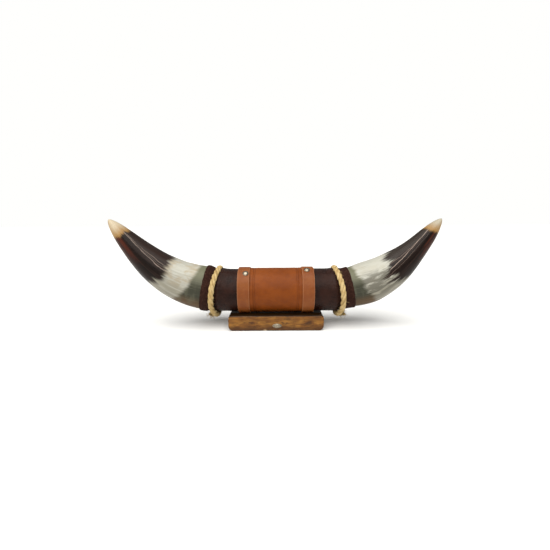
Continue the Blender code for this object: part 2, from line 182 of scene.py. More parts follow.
def light_room():
    scene = bpy.context.scene
    scene.view_settings.view_transform = "Standard"
    scene.world = bpy.data.worlds.new("white_room")
    scene.world.use_nodes = True
    tree = scene.world.node_tree
    seen = add(tree, "ShaderNodeLightPath").outputs["Is Camera Ray"]
    wall = tree.nodes["Background"]
    wall.inputs["Color"].default_value = (1.0, 1.0, 0.985, 1.0)
    tree.links.new(calc(tree, "MULTIPLY_ADD", seen, 1.0 - ROOM_LIGHT, ROOM_LIGHT), wall.inputs["Strength"])
    lamp = bpy.data.lights.new("lamp_above", "SUN")
    lamp.energy = LAMP_LIGHT
    lamp.color = LAMP_COLOUR
    lamp.angle = LAMP_SPREAD
    stand = place_in_scene("lamp_above", lamp)
    stand.location = LAMP_FROM
    stand.rotation_euler = Vector(LAMP_FROM).to_track_quat("Z", "Y").to_euler()


def lay_table():
    half = TABLE_SIZE / 2
    mesh = bpy.data.meshes.new("table")
    corners = [(-half, -half, 0), (half, -half, 0), (half, half, 0), (-half, half, 0)]
    mesh.from_pydata(corners, [], [(0, 1, 2, 3)])
    finish, tree, shader = start_finish("table_paint", roughness=0.6)
    place = add(tree, "ShaderNodeTexCoord").outputs["Object"]
    shade = mix(tree, speckle(tree, place, 9.0), paint("e8e9e9"), paint("ebecec"))
    tree.links.new(shade, shader.inputs["Base Color"])
    mesh.materials.append(finish)
    place_in_scene("table", mesh)


set_up_view()
light_room()
lay_table()


# --------------------------------------------------------------------------------------------------
# The core
# A turned softwood billet under the leather, with a tapered plug at each end that fills the horn's hollow.
# The CAD shape is right as it stands, so it stays and only takes its bare wood.

def bare_wood():
    finish, tree, shader = start_finish("bare_softwood", roughness=0.75)
    place = add(tree, "ShaderNodeTexCoord").outputs["Object"]
    rings = add(tree, "ShaderNodeTexWave", {
        "Vector": place, "Scale": 60.0, "Distortion": 3.0, "Detail": 2.0, "Detail Scale": 0.6,
    }, wave_type="RINGS", rings_direction="X").outputs["Fac"]
    fibres = speckle(tree, place, 1.0, stretch=(60.0, 900.0, 900.0))
    wood = mix(tree, rings, paint("d2b184"), paint("b58a56"))
    wood = mix(tree, times(tree, fibres, 0.35), wood, paint("8f6a3e"))
    tree.links.new(wood, shader.inputs["Base Color"])
    dent(tree, shader, fibres, 0.0001)
    return finish


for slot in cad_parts["core"].material_slots:
    slot.material = bare_wood()


# --------------------------------------------------------------------------------------------------
# The horns
# Two natural horns, each grown as one piece, scraped and polished to a gloss. The tip is ivory, the length
# behind it brown-black, and the root cream and grey-green. The root is bored out and pushed onto the core's
# plug.

GAP = 0.0003  # left between pieces that touch
HORNS = {
    "left": {
        "side": -1,
        "straight_to": 0.0684,  # where the centre line leaves the straight
        "guides": ((0.1569, 0.0015), (0.1928, 0.0335)),  # of its curve, across and above the core's axis
        "tip": (0.2514, 0.1120),
        "root_radius": 0.0358,
        "bluntness": 0.699,
        "pinch": (0.0019, 0.769, 0.167),  # how far it is pinched in, where and over what share of its length
        "joint": 0.0955,
        "shoulder": 0.014,  # over which it widens from the waist
        "cuff_end": 0.1140,
    },
    "right": {
        "side": 1,
        "straight_to": 0.0688,
        "guides": ((0.1682, -0.0033), (0.2072, 0.0506)),
        "tip": (0.2499, 0.1106),
        "root_radius": 0.03725,
        "bluntness": 0.732,
        "pinch": (0.0046, 0.762, 0.160),
        "joint": 0.0980,
        "shoulder": 0.0557,
        "cuff_end": 0.1187,
    },
}
TAPER_POWER = 1.85
TIP_FORWARD = 0.012
TIP_FULLNESS = 0.0027  # how much the last stretch is swollen, so that the tips end blunt
TIP_ROUNDING = 7  # the higher, the blunter the very end
TIP_FADE = 0.12
WAIST_RADIUS = 0.0303
SOCKET_RADIUS = 0.0225
SOCKET_DEPTH = 0.040
SOCKET_END_RADIUS = 0.0150
HORN_WAVER = 0.00035  # how far the scraped surface wanders from a true round
HORN_WAVER_FADES = (0.02, 0.05)  # the lengths over which that dies away at the cuff and at the tip
LINE_STEPS = 400
LINE_PROBE = 0.0005  # how far to each side of a place its direction is taken
HORN_SIDES = 144
HORN_RINGS = 190
HORN_RING_POWER = 1.6  # above 1, the rings lie closer together towards the tip
SOCKET_RINGS = 12

# Where each horn's colours change, as distances outboard of the cuff's edge halfway up, and how much
# further out the change is at the upper and lower edges. Each streak follows the grain from one height to
# another between the borders of the dark length, and has its own width and strength.
# Smoke also sets how strong the painted sheen along the top of the dark length is.
MARKINGS = {
    "left": {
        "ivory_from": 0.1495, "ivory_lean": (-0.0010, 0.0040), "ivory_jag": 0.010,
        "dark_from": 0.0650, "dark_lean": (0.0010, 0.0110), "dark_jag": 0.018,
        "root_to": 0.0235, "root_lean": (-0.0100, 0.0175), "root_jag": 0.005,
        "smoke": 0.25, "beige": 0.9, "tip": "b3a68e", "drift": 3.0,
        "streaks": ((0.36, 0.62, 0.024, 0.9), (0.58, 0.68, 0.016, 0.6), (0.47, 0.64, 0.012, 0.4)),
    },
    "right": {
        "ivory_from": 0.1520, "ivory_lean": (-0.0040, 0.0020), "ivory_jag": 0.008,
        "dark_from": 0.0690, "dark_lean": (0.0045, 0.0160), "dark_jag": 0.034,
        "root_to": 0.0185, "root_lean": (-0.0095, 0.0150), "root_jag": 0.012,
        "smoke": 1.0, "beige": 0.2, "tip": "9d9787", "drift": 8.6,
        "streaks": ((0.34, 0.74, 0.025, 0.95), (0.56, 0.68, 0.016, 0.6), (0.16, 0.42, 0.014, 0.4)),
    },
}


def eased(share):
    """0 to 1 with a soft start and end."""
    share = np.clip(share, 0.0, 1.0)
    return share * share * (3 - 2 * share)


def centre_line(horn):
    """Points from the middle of the mount to one tip, and each point's reach."""
    share = np.linspace(0, 1, LINE_STEPS)[:, None]
    a, b, c, d = (np.array(p) for p in ((horn["straight_to"], 0.0), *horn["guides"], horn["tip"]))
    flat = a * (1 - share)**3 + 3 * b * (1 - share)**2 * share + 3 * c * (1 - share) * share**2 + d * share**3
    run = np.concatenate([[0], np.cumsum(np.linalg.norm(np.diff(flat, axis=0), axis=1))])
    forward = -TIP_FORWARD * (run / run[-1]) ** 2
    curve = np.stack([horn["side"] * flat[:, 0], forward, AXIS_HEIGHT + flat[:, 1]], axis=1)
    points = np.concatenate([[[0.0, 0.0, AXIS_HEIGHT]], curve])
    return points, np.concatenate([[0.0], horn["straight_to"] + run])


LINES = {name: centre_line(horn) for name, horn in HORNS.items()}


def stations(name, reaches):
    """The places at these reaches, with the directions along the centre line (towards +X), back and up."""
    points, run = LINES[name]
    reaches = np.asarray(reaches, float)
    near, place, far = (
        np.stack([np.interp(reaches + step, run, points[:, k]) for k in range(3)], axis=-1)
        for step in (-LINE_PROBE, 0.0, LINE_PROBE)
    )
    along = HORNS[name]["side"] * (far - near)
    along /= np.linalg.norm(along, axis=-1, keepdims=True)
    back = np.array([0.0, 1.0, 0.0]) - along * along[..., 1:2]
    back /= np.linalg.norm(back, axis=-1, keepdims=True)
    return place, along, back, np.cross(along, back)


def rings_at(name, reaches, radii, turns):
    """Rings of points square to the centre line. The radii are one for each ring or one for each point."""
    place, _, back, up = stations(name, reaches)
    radii = np.asarray(radii, float).reshape(len(place), -1, 1)
    spokes = np.cos(turns)[None, :, None] * back[:, None] + np.sin(turns)[None, :, None] * up[:, None]
    return place[:, None] + radii * spokes


def full_turn(steps):
    return np.arange(steps) * 2 * math.pi / steps


def face_outwards(mesh):
    shape = bmesh.new()
    shape.from_mesh(mesh)
    bmesh.ops.recalc_face_normals(shape, faces=shape.faces)
    shape.to_mesh(mesh)
    shape.free()


def skin(name, rings, finish, first=None, last=None, loop=False, laid=None, crease=math.radians(50)):
    """Joins rings of points into a closed surface that faces out. An end closes on a point, or the last
    ring joins the first. What is laid is a value or a vector for each point of the rings, by name."""
    rows, columns = rings.shape[:2]
    points = rings.reshape(-1, 3).tolist()
    faces = []
    for i in range(rows if loop else rows - 1):
        here, there = i * columns, (i + 1) % rows * columns
        faces += [
            (here + k, here + (k + 1) % columns, there + (k + 1) % columns, there + k) for k in range(columns)
        ]
    for end, start in ((first, 0), (last, (rows - 1) * columns)):
        if end is not None:
            points.append(list(end))
            faces += [(start + k, start + (k + 1) % columns, len(points) - 1) for k in range(columns)]
    mesh = bpy.data.meshes.new(name)
    mesh.from_pydata(points, [], faces)
    for label, values in (laid or {}).items():
        flat = np.asarray(values, np.float32)
        kind = "FLOAT_VECTOR" if flat.ndim == 3 else "FLOAT"
        flat = flat.reshape(rows * columns, -1)
        ends = [flat[row * columns:row * columns + columns].mean(axis=0) for row in (0, rows - 1)]
        extra = [value for end, value in zip((first, last), ends) if end is not None]
        flat = np.concatenate([flat, *(e[None] for e in extra)]) if extra else flat
        attribute = mesh.attributes.new(label, kind, "POINT")
        attribute.data.foreach_set("vector" if kind == "FLOAT_VECTOR" else "value", flat.ravel())
    face_outwards(mesh)
    mesh.shade_smooth()
    mesh.set_sharp_from_angle(angle=crease)
    mesh.materials.append(finish)
    return place_in_scene(name, mesh)


def rough_field(places, scale, octaves=3):
    """Smooth noise from about -1 to 1 at each place of an array."""
    flat = (places.reshape(-1, 3) * scale).tolist()
    found = [noise.fractal(point, 1.0, 2.0, octaves, noise_basis="PERLIN_ORIGINAL") for point in flat]
    return np.array(found).reshape(places.shape[:-1])


def horn_radius(name, reaches):
    horn, tip_reach = HORNS[name], LINES[name][1][-1]
    share = np.clip((reaches - horn["straight_to"]) / (tip_reach - horn["straight_to"]), 0.0, 1.0)
    depth, middle, width = horn["pinch"]
    pinched = depth * np.exp(-(((share - middle) / width) ** 2)) * np.sqrt(1 - share)
    swollen = TIP_FULLNESS * np.sqrt(1 - share**TIP_ROUNDING) * np.exp((share - 1) / TIP_FADE)
    return horn["root_radius"] * (1 - share**TAPER_POWER) ** horn["bluntness"] - pinched + swollen


def horn_skin_radius(name, reaches):
    """The horn's outside, with its root worked down to the waist."""
    joint, shoulder = HORNS[name]["joint"], HORNS[name]["shoulder"]
    trim = horn_radius(name, np.array([joint])) - WAIST_RADIUS
    return horn_radius(name, reaches) - trim * (1 - eased((reaches - joint) / shoulder))


def horn_finish(name, marks):
    """Horn colours along the grain: "grown" holds the distance from the cuff, and how far back and up."""
    finish, tree, shader = start_finish(
        f"polished_horn_{name}", coat_weight=0.02, coat_roughness=0.14, specular_ior_level=0.10, ior=1.54)
    grown = add(tree, "ShaderNodeAttribute", attribute_name="grown").outputs["Vector"]
    parts = add(tree, "ShaderNodeSeparateXYZ", {0: grown}).outputs
    out, up = parts["X"], parts["Z"]
    above = calc(tree, "MAXIMUM", up, 0.0)
    below = calc(tree, "MAXIMUM", times(tree, up, -1.0), 0.0)

    def grain(along, across, detail=3.0, **settings):
        """Noise drawn out along the grain: its fineness along and across."""
        stretch, shift = (along, across, across), (marks["drift"], 0.0, 0.0)
        return speckle(tree, grown, 1.0, detail=detail, stretch=stretch, shift=shift, **settings)

    tongues = grain(16.0, 3.4, 2.0)
    spikes = grain(18.0, 10.0)
    fibres = grain(20.0, 28.0, roughness=0.6)
    clouds = grain(55.0, 2.4, 4.0, distortion=0.4)
    smoke = grain(30.0, 4.6, 4.0, roughness=0.62, distortion=0.5)
    bands = grain(120.0, 1.2)

    def past(border, lean, jag):
        """Distance past a border that leans with the height and runs out in fine spikes along the grain."""
        line = calc(tree, "SUBTRACT", out, times(tree, above, lean[0]))
        line = calc(tree, "SUBTRACT", line, times(tree, below, lean[1]))
        wander = plus(tree, tongues, times(tree, spikes, 0.9), times(tree, fibres, 0.7))
        wander = times(tree, calc(tree, "SUBTRACT", wander, 1.3), jag)
        return calc(tree, "SUBTRACT", plus(tree, line, wander), border)

    # The root: grey-green and see-through halfway up, paler above and brown below
    root = layered(
        tree, paint("34342a"),
        (up, 0.10, 0.80, 1.0, "62624f"),
        (up, -0.20, -0.70, 1.0, "503c26"),
        (bands, 0.48, 0.72, 0.35, "5b5a49"),
        (fibres, 0.52, 0.75, 0.5, "6d6b5a"),
    )
    # The cream length, with beige patches, grey clouds and grey-green lower down
    cream = layered(
        tree, paint("a5a49a"),
        (clouds, 0.42, 0.60, marks["beige"], "998f7b"),
        (up, 0.35, -0.30, 1.0, "8c887a"),
        (up, -0.25, -0.95, 1.0, "858074"),
        (spikes, 0.50, 0.68, 0.55, "aeada3"),
        (fibres, 0.50, 0.30, 0.45, "6f6f60"),
    )
    murk = times(
        tree, rise(tree, smoke, 0.39, 0.54), marks["smoke"],
        rise(tree, up, 0.80, 0.35), rise(tree, up, -0.85, -0.30))
    cream = mix(tree, times(tree, murk, 0.85), cream, paint("565349"))
    # The dark length: fine lighter lines along the grain, a redder part under the ivory, painted sheen on top
    to_ivory = past(marks["ivory_from"], marks["ivory_lean"], marks["ivory_jag"])
    dark = layered(
        tree, paint("0a0503"),
        (fibres, 0.35, 0.70, 1.0, "1e120d"),
        # Painted sheen: the upper side is painted lighter.
        (up, 0.40, 0.75, 0.6, "2b1e1a"),
        (spikes, 0.50, 0.70, 0.5, "2c1c16"),
    )
    # Painted sheen: greyer, lighter grain along the top, as if lit from above.
    painted_top_sheen = times(tree, rise(tree, up, 0.45, 0.75), rise(tree, fibres, 0.40, 0.62))
    dark = mix(tree, times(tree, painted_top_sheen, marks["smoke"]), dark, paint("34312c"))
    redder = times(
        tree, rise(tree, to_ivory, -0.060, -0.005), rise(tree, tongues, 0.38, 0.55),
        rise(tree, up, 0.15, -0.10))
    dark = mix(tree, times(tree, redder, 0.8), dark, paint("471d0e"))
    # The ivory tip, tan where it meets the dark
    ivory = mix(tree, rise(tree, to_ivory, 0.000, 0.019), paint("8c6a3c"), paint(marks["tip"]))
    ivory = layered(
        tree, ivory,
        (up, 0.2, -0.8, 0.6, "94754b"),
        (fibres, 0.45, 0.7, 0.3, "9c8358"),
    )

    to_cream = past(marks["root_to"], marks["root_lean"], marks["root_jag"])
    to_dark = past(marks["dark_from"], marks["dark_lean"], marks["dark_jag"])
    to_dark = plus(tree, to_dark, times(tree, murk, 0.010))
    colour = mix(tree, rise(tree, to_cream, -0.005, 0.004), root, cream)
    colour = mix(tree, rise(tree, to_dark, -0.007, 0.005), colour, dark)
    sway = times(tree, calc(tree, "SUBTRACT", grain(60.0, 0.4), 0.5), 0.16)
    for low_end, high_end, width, strength in marks["streaks"]:
        slope = (high_end - low_end) / (marks["ivory_from"] - marks["dark_from"])
        line = calc(tree, "MULTIPLY_ADD", out, slope, low_end - slope * marks["dark_from"])
        off_line = calc(tree, "ABSOLUTE", calc(tree, "SUBTRACT", up, plus(tree, line, sway)))
        broken = rise(tree, smoke, 0.35, 0.50, 0.4, 1.0)
        pale = times(tree, rise(tree, off_line, width, 0.0), broken)
        pale = times(tree, pale, rise(tree, to_dark, -0.004, 0.010, 0.0, strength))
        colour = mix(tree, pale, colour, paint("9a887c"))
    colour = mix(tree, rise(tree, to_ivory, -0.003, 0.003), colour, ivory)
    tree.links.new(colour, shader.inputs["Base Color"])
    tree.links.new(rise(tree, fibres, 0.3, 0.75, 0.30, 0.48), shader.inputs["Roughness"])
    dent(tree, shader, fibres, 0.00008)
    return finish


def make_horn(name):
    horn, tip_reach, turns = HORNS[name], float(LINES[name][1][-1]), full_turn(HORN_SIDES)
    joint = horn["joint"] + GAP / 2
    share = np.linspace(0, 1, HORN_RINGS)[:-1]
    reaches = joint + (tip_reach - joint) * (1 - (1 - share) ** HORN_RING_POWER)
    root_fade, tip_fade = HORN_WAVER_FADES
    fade = eased((reaches - horn["cuff_end"]) / root_fade) * eased((tip_reach - reaches) / tip_fade)
    round_points = rings_at(name, reaches, horn_skin_radius(name, reaches), turns)
    waver = rough_field(round_points, 28.0) * HORN_WAVER * fade[:, None]
    outside = rings_at(name, reaches, horn_skin_radius(name, reaches)[:, None] + waver, turns)
    depth = np.linspace(0, 1, SOCKET_RINGS)
    hollow = SOCKET_RADIUS + (SOCKET_END_RADIUS - SOCKET_RADIUS) * depth**2 + GAP
    socket_reaches = joint + (SOCKET_DEPTH + GAP) * depth
    rings = np.concatenate([outside[::-1], rings_at(name, socket_reaches, hollow, turns)])
    from_cuff = np.concatenate([reaches[::-1], socket_reaches]) - horn["cuff_end"]
    directions = np.cos(turns)[None], np.sin(turns)[None]
    grown = np.stack(np.broadcast_arrays(from_cuff[:, None], *directions), axis=-1)
    tip, socket_end = stations(name, [tip_reach, socket_reaches[-1]])[0]
    finish = horn_finish(name, MARKINGS[name])
    laid = {"grown": grown}
    made = skin(f"polished_horn_{name}", rings, finish, first=tip, last=socket_end, laid=laid)
    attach(made, "root")
    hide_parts(f"horn_{name}")


for side_name in HORNS:
    make_horn(side_name)


# --------------------------------------------------------------------------------------------------
# The sleeve
# One piece of thin dark leather wrapped round the core and over both horns' roots, smooth side out in the
# middle and left raw as suede at the cuffs. It is puckered where the ropes pull it in, and its butt seam is
# sewn at the back.

CORE_RADIUS = 0.0318
CORE_SHOULDER = 0.008
SLEEVE_THICKNESS = 0.0016
SLEEVE_TURNS = full_turn(240)
SLEEVE_FINE_FROM = 0.0545  # the reach from which its rings lie close together
SLEEVE_STEP = 0.00062
CUFF_FRAY = 0.0006  # how far the cut edge wanders
CUFF_FRAY_REACH = 0.006
PUCKER_DEPTH = 0.0006
PUCKER_REACH = 0.011
PILLOW_HEIGHT = 0.0008  # of the leather pushed up on both sides of a rope
PILLOW_FROM_ROPE = 0.0062
PILLOW_WIDTH = 0.0042
CREASE_DEPTH = 0.00022
WORKED_FROM = 0.058  # the reach, at the strap's outer edge, from which the leather shows

ROPE_DRIFT = {"left": (0.0020, -0.0030), "right": (0.0030, -0.0022)}  # outboard, front and top


def rope_drift(name, turn):
    """How far outboard of the joint the rope sits, at a turn from the bottom through the front."""
    front, top = ROPE_DRIFT[name]
    return np.maximum(np.sin(turn), 0) ** 2 * front + np.maximum(-np.cos(turn), 0) ** 2 * top


def under_sleeve(name, reaches):
    """The radius of the wood and horn that the leather lies on."""
    joint = HORNS[name]["joint"]
    narrowing = eased((reaches - joint + CORE_SHOULDER) / CORE_SHOULDER)
    core = CORE_RADIUS - (CORE_RADIUS - WAIST_RADIUS) * narrowing
    return np.where(reaches <= joint, core, horn_skin_radius(name, reaches))


def sleeve_half(name, reaches, lift, worked):
    """Rings from the middle out to the cuff, with the rope's puckers where they are worked."""
    horn, turns = HORNS[name], SLEEVE_TURNS
    below = (under_sleeve(name, reaches) + lift)[:, None]
    radii = np.broadcast_to(below, (len(reaches), len(turns))).copy()
    plain = rings_at(name, reaches, radii, turns)
    from_rope = reaches[:, None] - horn["joint"] - rope_drift(name, turns - math.pi / 2 * 3)[None]
    if worked:
        wide = np.stack(np.broadcast_arrays(
            from_rope * 28,
            2.6 * np.cos(turns)[None],
            2.6 * np.sin(turns)[None] + horn["side"] * 7.0,
        ), axis=-1)
        folds = 1 - 2 * np.abs(rough_field(wide, 1.9, 2))
        near = np.exp(-np.abs(from_rope) / PUCKER_REACH)
        beside = np.exp(-(((np.abs(from_rope) - PILLOW_FROM_ROPE) / PILLOW_WIDTH) ** 2))
        pillow = beside + 0.55 * np.exp(-((from_rope / 0.004) ** 2))
        bare = eased((reaches - WORKED_FROM) / 0.006)[:, None]
        creases = rough_field(plain, 55.0) * CREASE_DEPTH
        radii += bare * (PILLOW_HEIGHT * pillow + PUCKER_DEPTH * near * (folds - 0.6) + creases)
    rings = rings_at(name, reaches, radii, turns)
    edge = np.stack([np.cos(turns) * 9, np.sin(turns) * 9, np.full_like(turns, horn["side"] * 4.0)], axis=-1)
    near_edge = eased(1 - (horn["cuff_end"] - reaches) / CUFF_FRAY_REACH)[:, None]
    ragged = CUFF_FRAY * rough_field(edge, 1.0, 4) * near_edge
    along = stations(name, reaches)[1][:, None] * horn["side"]
    return rings + along * ragged[..., None], from_rope


def leather_finish(name, colour, deep, pale, gloss, suede=None, shine=0.11):
    """Leather with clouded dye, pores and fine creases. Suede, if given, takes over where "cuff" is 1."""
    finish, tree, shader = start_finish(name, specular_ior_level=shine)
    place = add(tree, "ShaderNodeTexCoord").outputs["Object"]
    clouds = speckle(tree, place, 70.0, detail=5.0, roughness=0.6)
    broad = speckle(tree, place, 22.0, detail=2.0)
    pores = speckle(tree, place, 1500.0, detail=2.0)
    cells = {"Vector": place, "Scale": 900.0}
    hide = add(tree, "ShaderNodeTexVoronoi", cells, feature="DISTANCE_TO_EDGE").outputs[0]
    dye = layered(
        tree, paint(deep),
        (clouds, 0.35, 0.65, 1.0, colour),
        (broad, 0.45, 0.7, 0.55, pale),
        (pores, 0.6, 0.8, 0.3, deep),
    )
    rough = rise(tree, clouds, 0.3, 0.7, gloss, gloss + 0.10)
    height = plus(tree, rise(tree, hide, 0.0, 0.25), times(tree, clouds, 0.8))
    if suede:
        cuff = laid_value(tree, "cuff")
        nap = speckle(tree, place, 520.0, detail=6.0, roughness=0.75)
        tufts = speckle(tree, place, 190.0, detail=3.0, roughness=0.6)
        raw = layered(
            tree, paint(suede[0]),
            (nap, 0.35, 0.7, 1.0, suede[1]),
            (tufts, 0.5, 0.7, 0.6, suede[2]),
        )
        scuffs = speckle(tree, place, 1.0, detail=4.0, stretch=(700.0, 160.0, 160.0))
        raw = mix(tree, rise(tree, scuffs, 0.62, 0.74, 0.0, 0.5), raw, paint("6b5443"))
        dye = mix(tree, cuff, dye, raw)
        rough = add(tree, "ShaderNodeMix", {0: cuff, 2: rough, 3: 0.92}).outputs[0]
        raised = times(tree, nap, 3.5)
        height = add(tree, "ShaderNodeMix", {0: cuff, 2: height, 3: raised}).outputs[0]
    tree.links.new(dye, shader.inputs["Base Color"])
    tree.links.new(rough, shader.inputs["Roughness"])
    dent(tree, shader, height, 0.00010)
    return finish


def make_sleeve():
    lift = GAP + SLEEVE_THICKNESS
    halves = {}
    for name, horn in HORNS.items():
        end = horn["cuff_end"]
        fine = np.arange(SLEEVE_FINE_FROM, end - 0.0012, SLEEVE_STEP)
        outside = np.concatenate([[0.012, 0.035, 0.048], fine, [end - 0.0010, end - 0.0004, end]])
        drop = np.concatenate([np.zeros(len(outside) - 2), [0.00012, 0.00050]])
        inside = np.concatenate([[0.012], np.linspace(0.035, end - 0.001, 22), [end]])
        raised = np.concatenate([np.zeros(len(inside) - 1), [0.00035]])
        outer, from_rope = sleeve_half(name, outside, lift - drop, True)
        inner, from_rope_inside = sleeve_half(name, inside, GAP + raised, False)
        halves[name] = (outer, inner, from_rope, from_rope_inside)
    (left, left_in, *left_rope), (right, right_in, *right_rope) = halves["left"], halves["right"]
    rings = np.concatenate([left[::-1], right, right_in[::-1], left_in])
    from_rope = np.concatenate([left_rope[0][::-1], right_rope[0], right_rope[1][::-1], left_rope[1]])
    cuff = eased((from_rope + 0.001) / 0.003)
    finish = leather_finish("dark_leather", "25110a", "180905", "2d170f", 0.25,
                            suede=("1c0d07", "38211a", "26130d"), shine=0.10)
    made = skin("leather_sleeve", rings, finish, loop=True, laid={"cuff": cuff})
    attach(made, "root")
    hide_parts("sleeve")


make_sleeve()


# --------------------------------------------------------------------------------------------------
# The seams
# Waxed thread is laced to and fro across the butt seams at the back of the sleeve, one row between each
# rope and strap and a short one on each cuff. The belt's seam has its own row in pale thread.

SEAM_PITCH = 0.0040
SEAM_WIDTH = 0.0052
THREAD_RADIUS = 0.00035
LACING_FROM = 0.0615  # the reach at which the sleeve's long rows start, just past the strap
LACING_OFF_ROPE = 0.0075
LACING_OFF_EDGE = 0.0025


def new_node_group(name, sizes, materials=("Finish",)):
    """An empty Geometry Nodes tree with named inputs, and its input node."""
    tree = bpy.data.node_groups.new(name, "GeometryNodeTree")
    tree.is_modifier = True
    tree.interface.new_socket("Geometry", in_out="INPUT", socket_type="NodeSocketGeometry")
    for label in sizes:
        tree.interface.new_socket(label, in_out="INPUT", socket_type="NodeSocketFloat")
    for label in materials:
        tree.interface.new_socket(label, in_out="INPUT", socket_type="NodeSocketMaterial")
    tree.interface.new_socket("Geometry", in_out="OUTPUT", socket_type="NodeSocketGeometry")
    return tree, tree.nodes.new("NodeGroupInput").outputs


def named(tree, label, kind="FLOAT_VECTOR"):
    return add(tree, "GeometryNodeInputNamedAttribute", {"Name": label}, data_type=kind).outputs[0]


def steer(tree, operation, *values):
    """Vector arithmetic."""
    node = add(tree, "ShaderNodeVectorMath", operation=operation)
    for k, value in enumerate(values):
        socket = node.inputs["Scale"] if operation == "SCALE" and k == 1 else node.inputs[k]
        if isinstance(value, bpy.types.NodeSocket):
            tree.links.new(value, socket)
        else:
            socket.default_value = value
    return node.outputs["Value"] if operation in ("DOT_PRODUCT", "LENGTH") else node.outputs["Vector"]


def grow(name, tree, path, laid, values):
    """Runs a Geometry Nodes tree along a path of points and keeps the result as a plain mesh."""
    mesh = bpy.data.meshes.new(name)
    mesh.from_pydata([tuple(p) for p in path], [(i, i + 1) for i in range(len(path) - 1)], [])
    for label, field in laid.items():
        field = np.asarray(field, np.float32)
        kind, key = ("FLOAT_VECTOR", "vector") if field.ndim == 2 else ("FLOAT", "value")
        mesh.attributes.new(label, kind, "POINT").data.foreach_set(key, field.ravel())
    made = place_in_scene(name, mesh)
    modifier = made.modifiers.new(tree.name, "NODES")
    modifier.node_group = tree
    for socket in tree.interface.items_tree:
        if socket.in_out == "INPUT" and socket.name in values:
            modifier[socket.identifier] = values[socket.name]
    bpy.context.view_layer.update()
    grown_shape = made.evaluated_get(bpy.context.evaluated_depsgraph_get())
    result = bpy.data.meshes.new_from_object(grown_shape)
    made.modifiers.clear()
    made.data = result
    bpy.data.meshes.remove(mesh)
    return made


def lacing_tree():
    """Laces a thread to and fro over a seam: "outward" on the path says which way the leather faces."""
    tree, given = new_node_group("lacing", ("Pitch", "Width", "Thread Radius"))
    line = add(tree, "GeometryNodeMeshToCurve", {"Mesh": given["Geometry"]}).outputs[0]
    spaced = {"Curve": line, "Length": given["Pitch"]}
    line = add(tree, "GeometryNodeResampleCurve", spaced, mode="LENGTH").outputs[0]
    points = add(tree, "GeometryNodeCurveToPoints", {"Curve": line}, mode="EVALUATED")
    half = times(tree, given["Width"], 0.5)
    sunk = times(tree, given["Thread Radius"], -2.5)
    ends = [
        add(tree, "ShaderNodeCombineXYZ", {"X": across, "Y": half_way, "Z": sunk}).outputs[0]
        for across, half_way in (
            (times(tree, given["Pitch"], -0.5), times(tree, half, -1.0)),
            (times(tree, given["Pitch"], 0.5), half),
        )
    ]
    height = times(tree, given["Thread Radius"], 4.6)
    high = add(tree, "ShaderNodeCombineXYZ", {"Z": height}).outputs[0]
    arch = add(tree, "GeometryNodeCurveQuadraticBezier", {
        "Resolution": 8, "Start": ends[0], "Middle": high, "End": ends[1],
    }).outputs[0]
    section = {"Resolution": 7, "Radius": given["Thread Radius"]}
    thread = add(tree, "GeometryNodeCurvePrimitiveCircle", section)
    arch = add(tree, "GeometryNodeCurveToMesh", {
        "Curve": arch, "Profile Curve": thread.outputs[0], "Fill Caps": True,
    }).outputs[0]
    outward = {"Vector": named(tree, "outward")}
    facing = add(tree, "FunctionNodeAlignRotationToVector", outward, axis="Z").outputs[0]
    facing = add(tree, "FunctionNodeAlignRotationToVector", {
        "Rotation": facing, "Vector": named(tree, "along"),
    }, axis="X", pivot_axis="Z").outputs[0]
    stitches = []
    for lean in (1.0, -1.0):
        stitches.append(add(tree, "GeometryNodeInstanceOnPoints", {
            "Points": points.outputs["Points"], "Instance": arch, "Rotation": facing,
            "Scale": (lean, 1.0, 1.0),
        }).outputs[0])
    joined = add(tree, "GeometryNodeJoinGeometry")
    for stitch in stitches:
        tree.links.new(stitch, joined.inputs[0])
    solid = add(tree, "GeometryNodeRealizeInstances", {0: joined.outputs[0]}).outputs[0]
    smooth = add(tree, "GeometryNodeSetShadeSmooth", {0: solid}).outputs[0]
    done = add(tree, "GeometryNodeSetMaterial", {"Geometry": smooth, "Material": given["Finish"]}).outputs[0]
    tree.links.new(done, tree.nodes.new("NodeGroupOutput").inputs[0])
    return tree


def thread_finish(name, colour, deep):
    finish, tree, shader = start_finish(name, roughness=0.6)
    place = add(tree, "ShaderNodeTexCoord").outputs["Object"]
    twist = speckle(tree, place, 2600.0, detail=1.0)
    tree.links.new(mix(tree, twist, paint(deep), paint(colour)), shader.inputs["Base Color"])
    dent(tree, shader, twist, 0.00006)
    return finish


LACING = lacing_tree()


def lace(name, side, start, end, lift, finish):
    """A row of lacing at the back, from one reach to another, standing this far off the core or horn."""
    reaches = np.linspace(start, end, 24)
    place, along, back, _ = stations(side, reaches)
    radius = (under_sleeve(side, reaches) + lift)[:, None]
    values = {"Pitch": SEAM_PITCH, "Width": SEAM_WIDTH, "Thread Radius": THREAD_RADIUS, "Finish": finish}
    made = grow(name, LACING, place + radius * back, {"outward": back, "along": along}, values)
    face_outwards(made.data)
    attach(made, "root")
    return made


dark_thread = thread_finish("waxed_dark_thread", "4a3428", "1d120d")
for side_name, side_horn in HORNS.items():
    sleeve_top = GAP + SLEEVE_THICKNESS
    for row, (row_start, row_end) in {
        "middle": (LACING_FROM, side_horn["joint"] - LACING_OFF_ROPE),
        "cuff": (side_horn["joint"] + LACING_OFF_ROPE, side_horn["cuff_end"] - LACING_OFF_EDGE),
    }.items():
        lace(f"lacing_{row}_{side_name}", side_name, row_start, row_end, sleeve_top, dark_thread)


# --------------------------------------------------------------------------------------------------
# The belt
# A panel of smooth tan leather wrapped tight round the middle of the sleeve, its edges under the straps.
# Two lines are creased beside each strap, and its ends meet in a laced butt seam at the back.

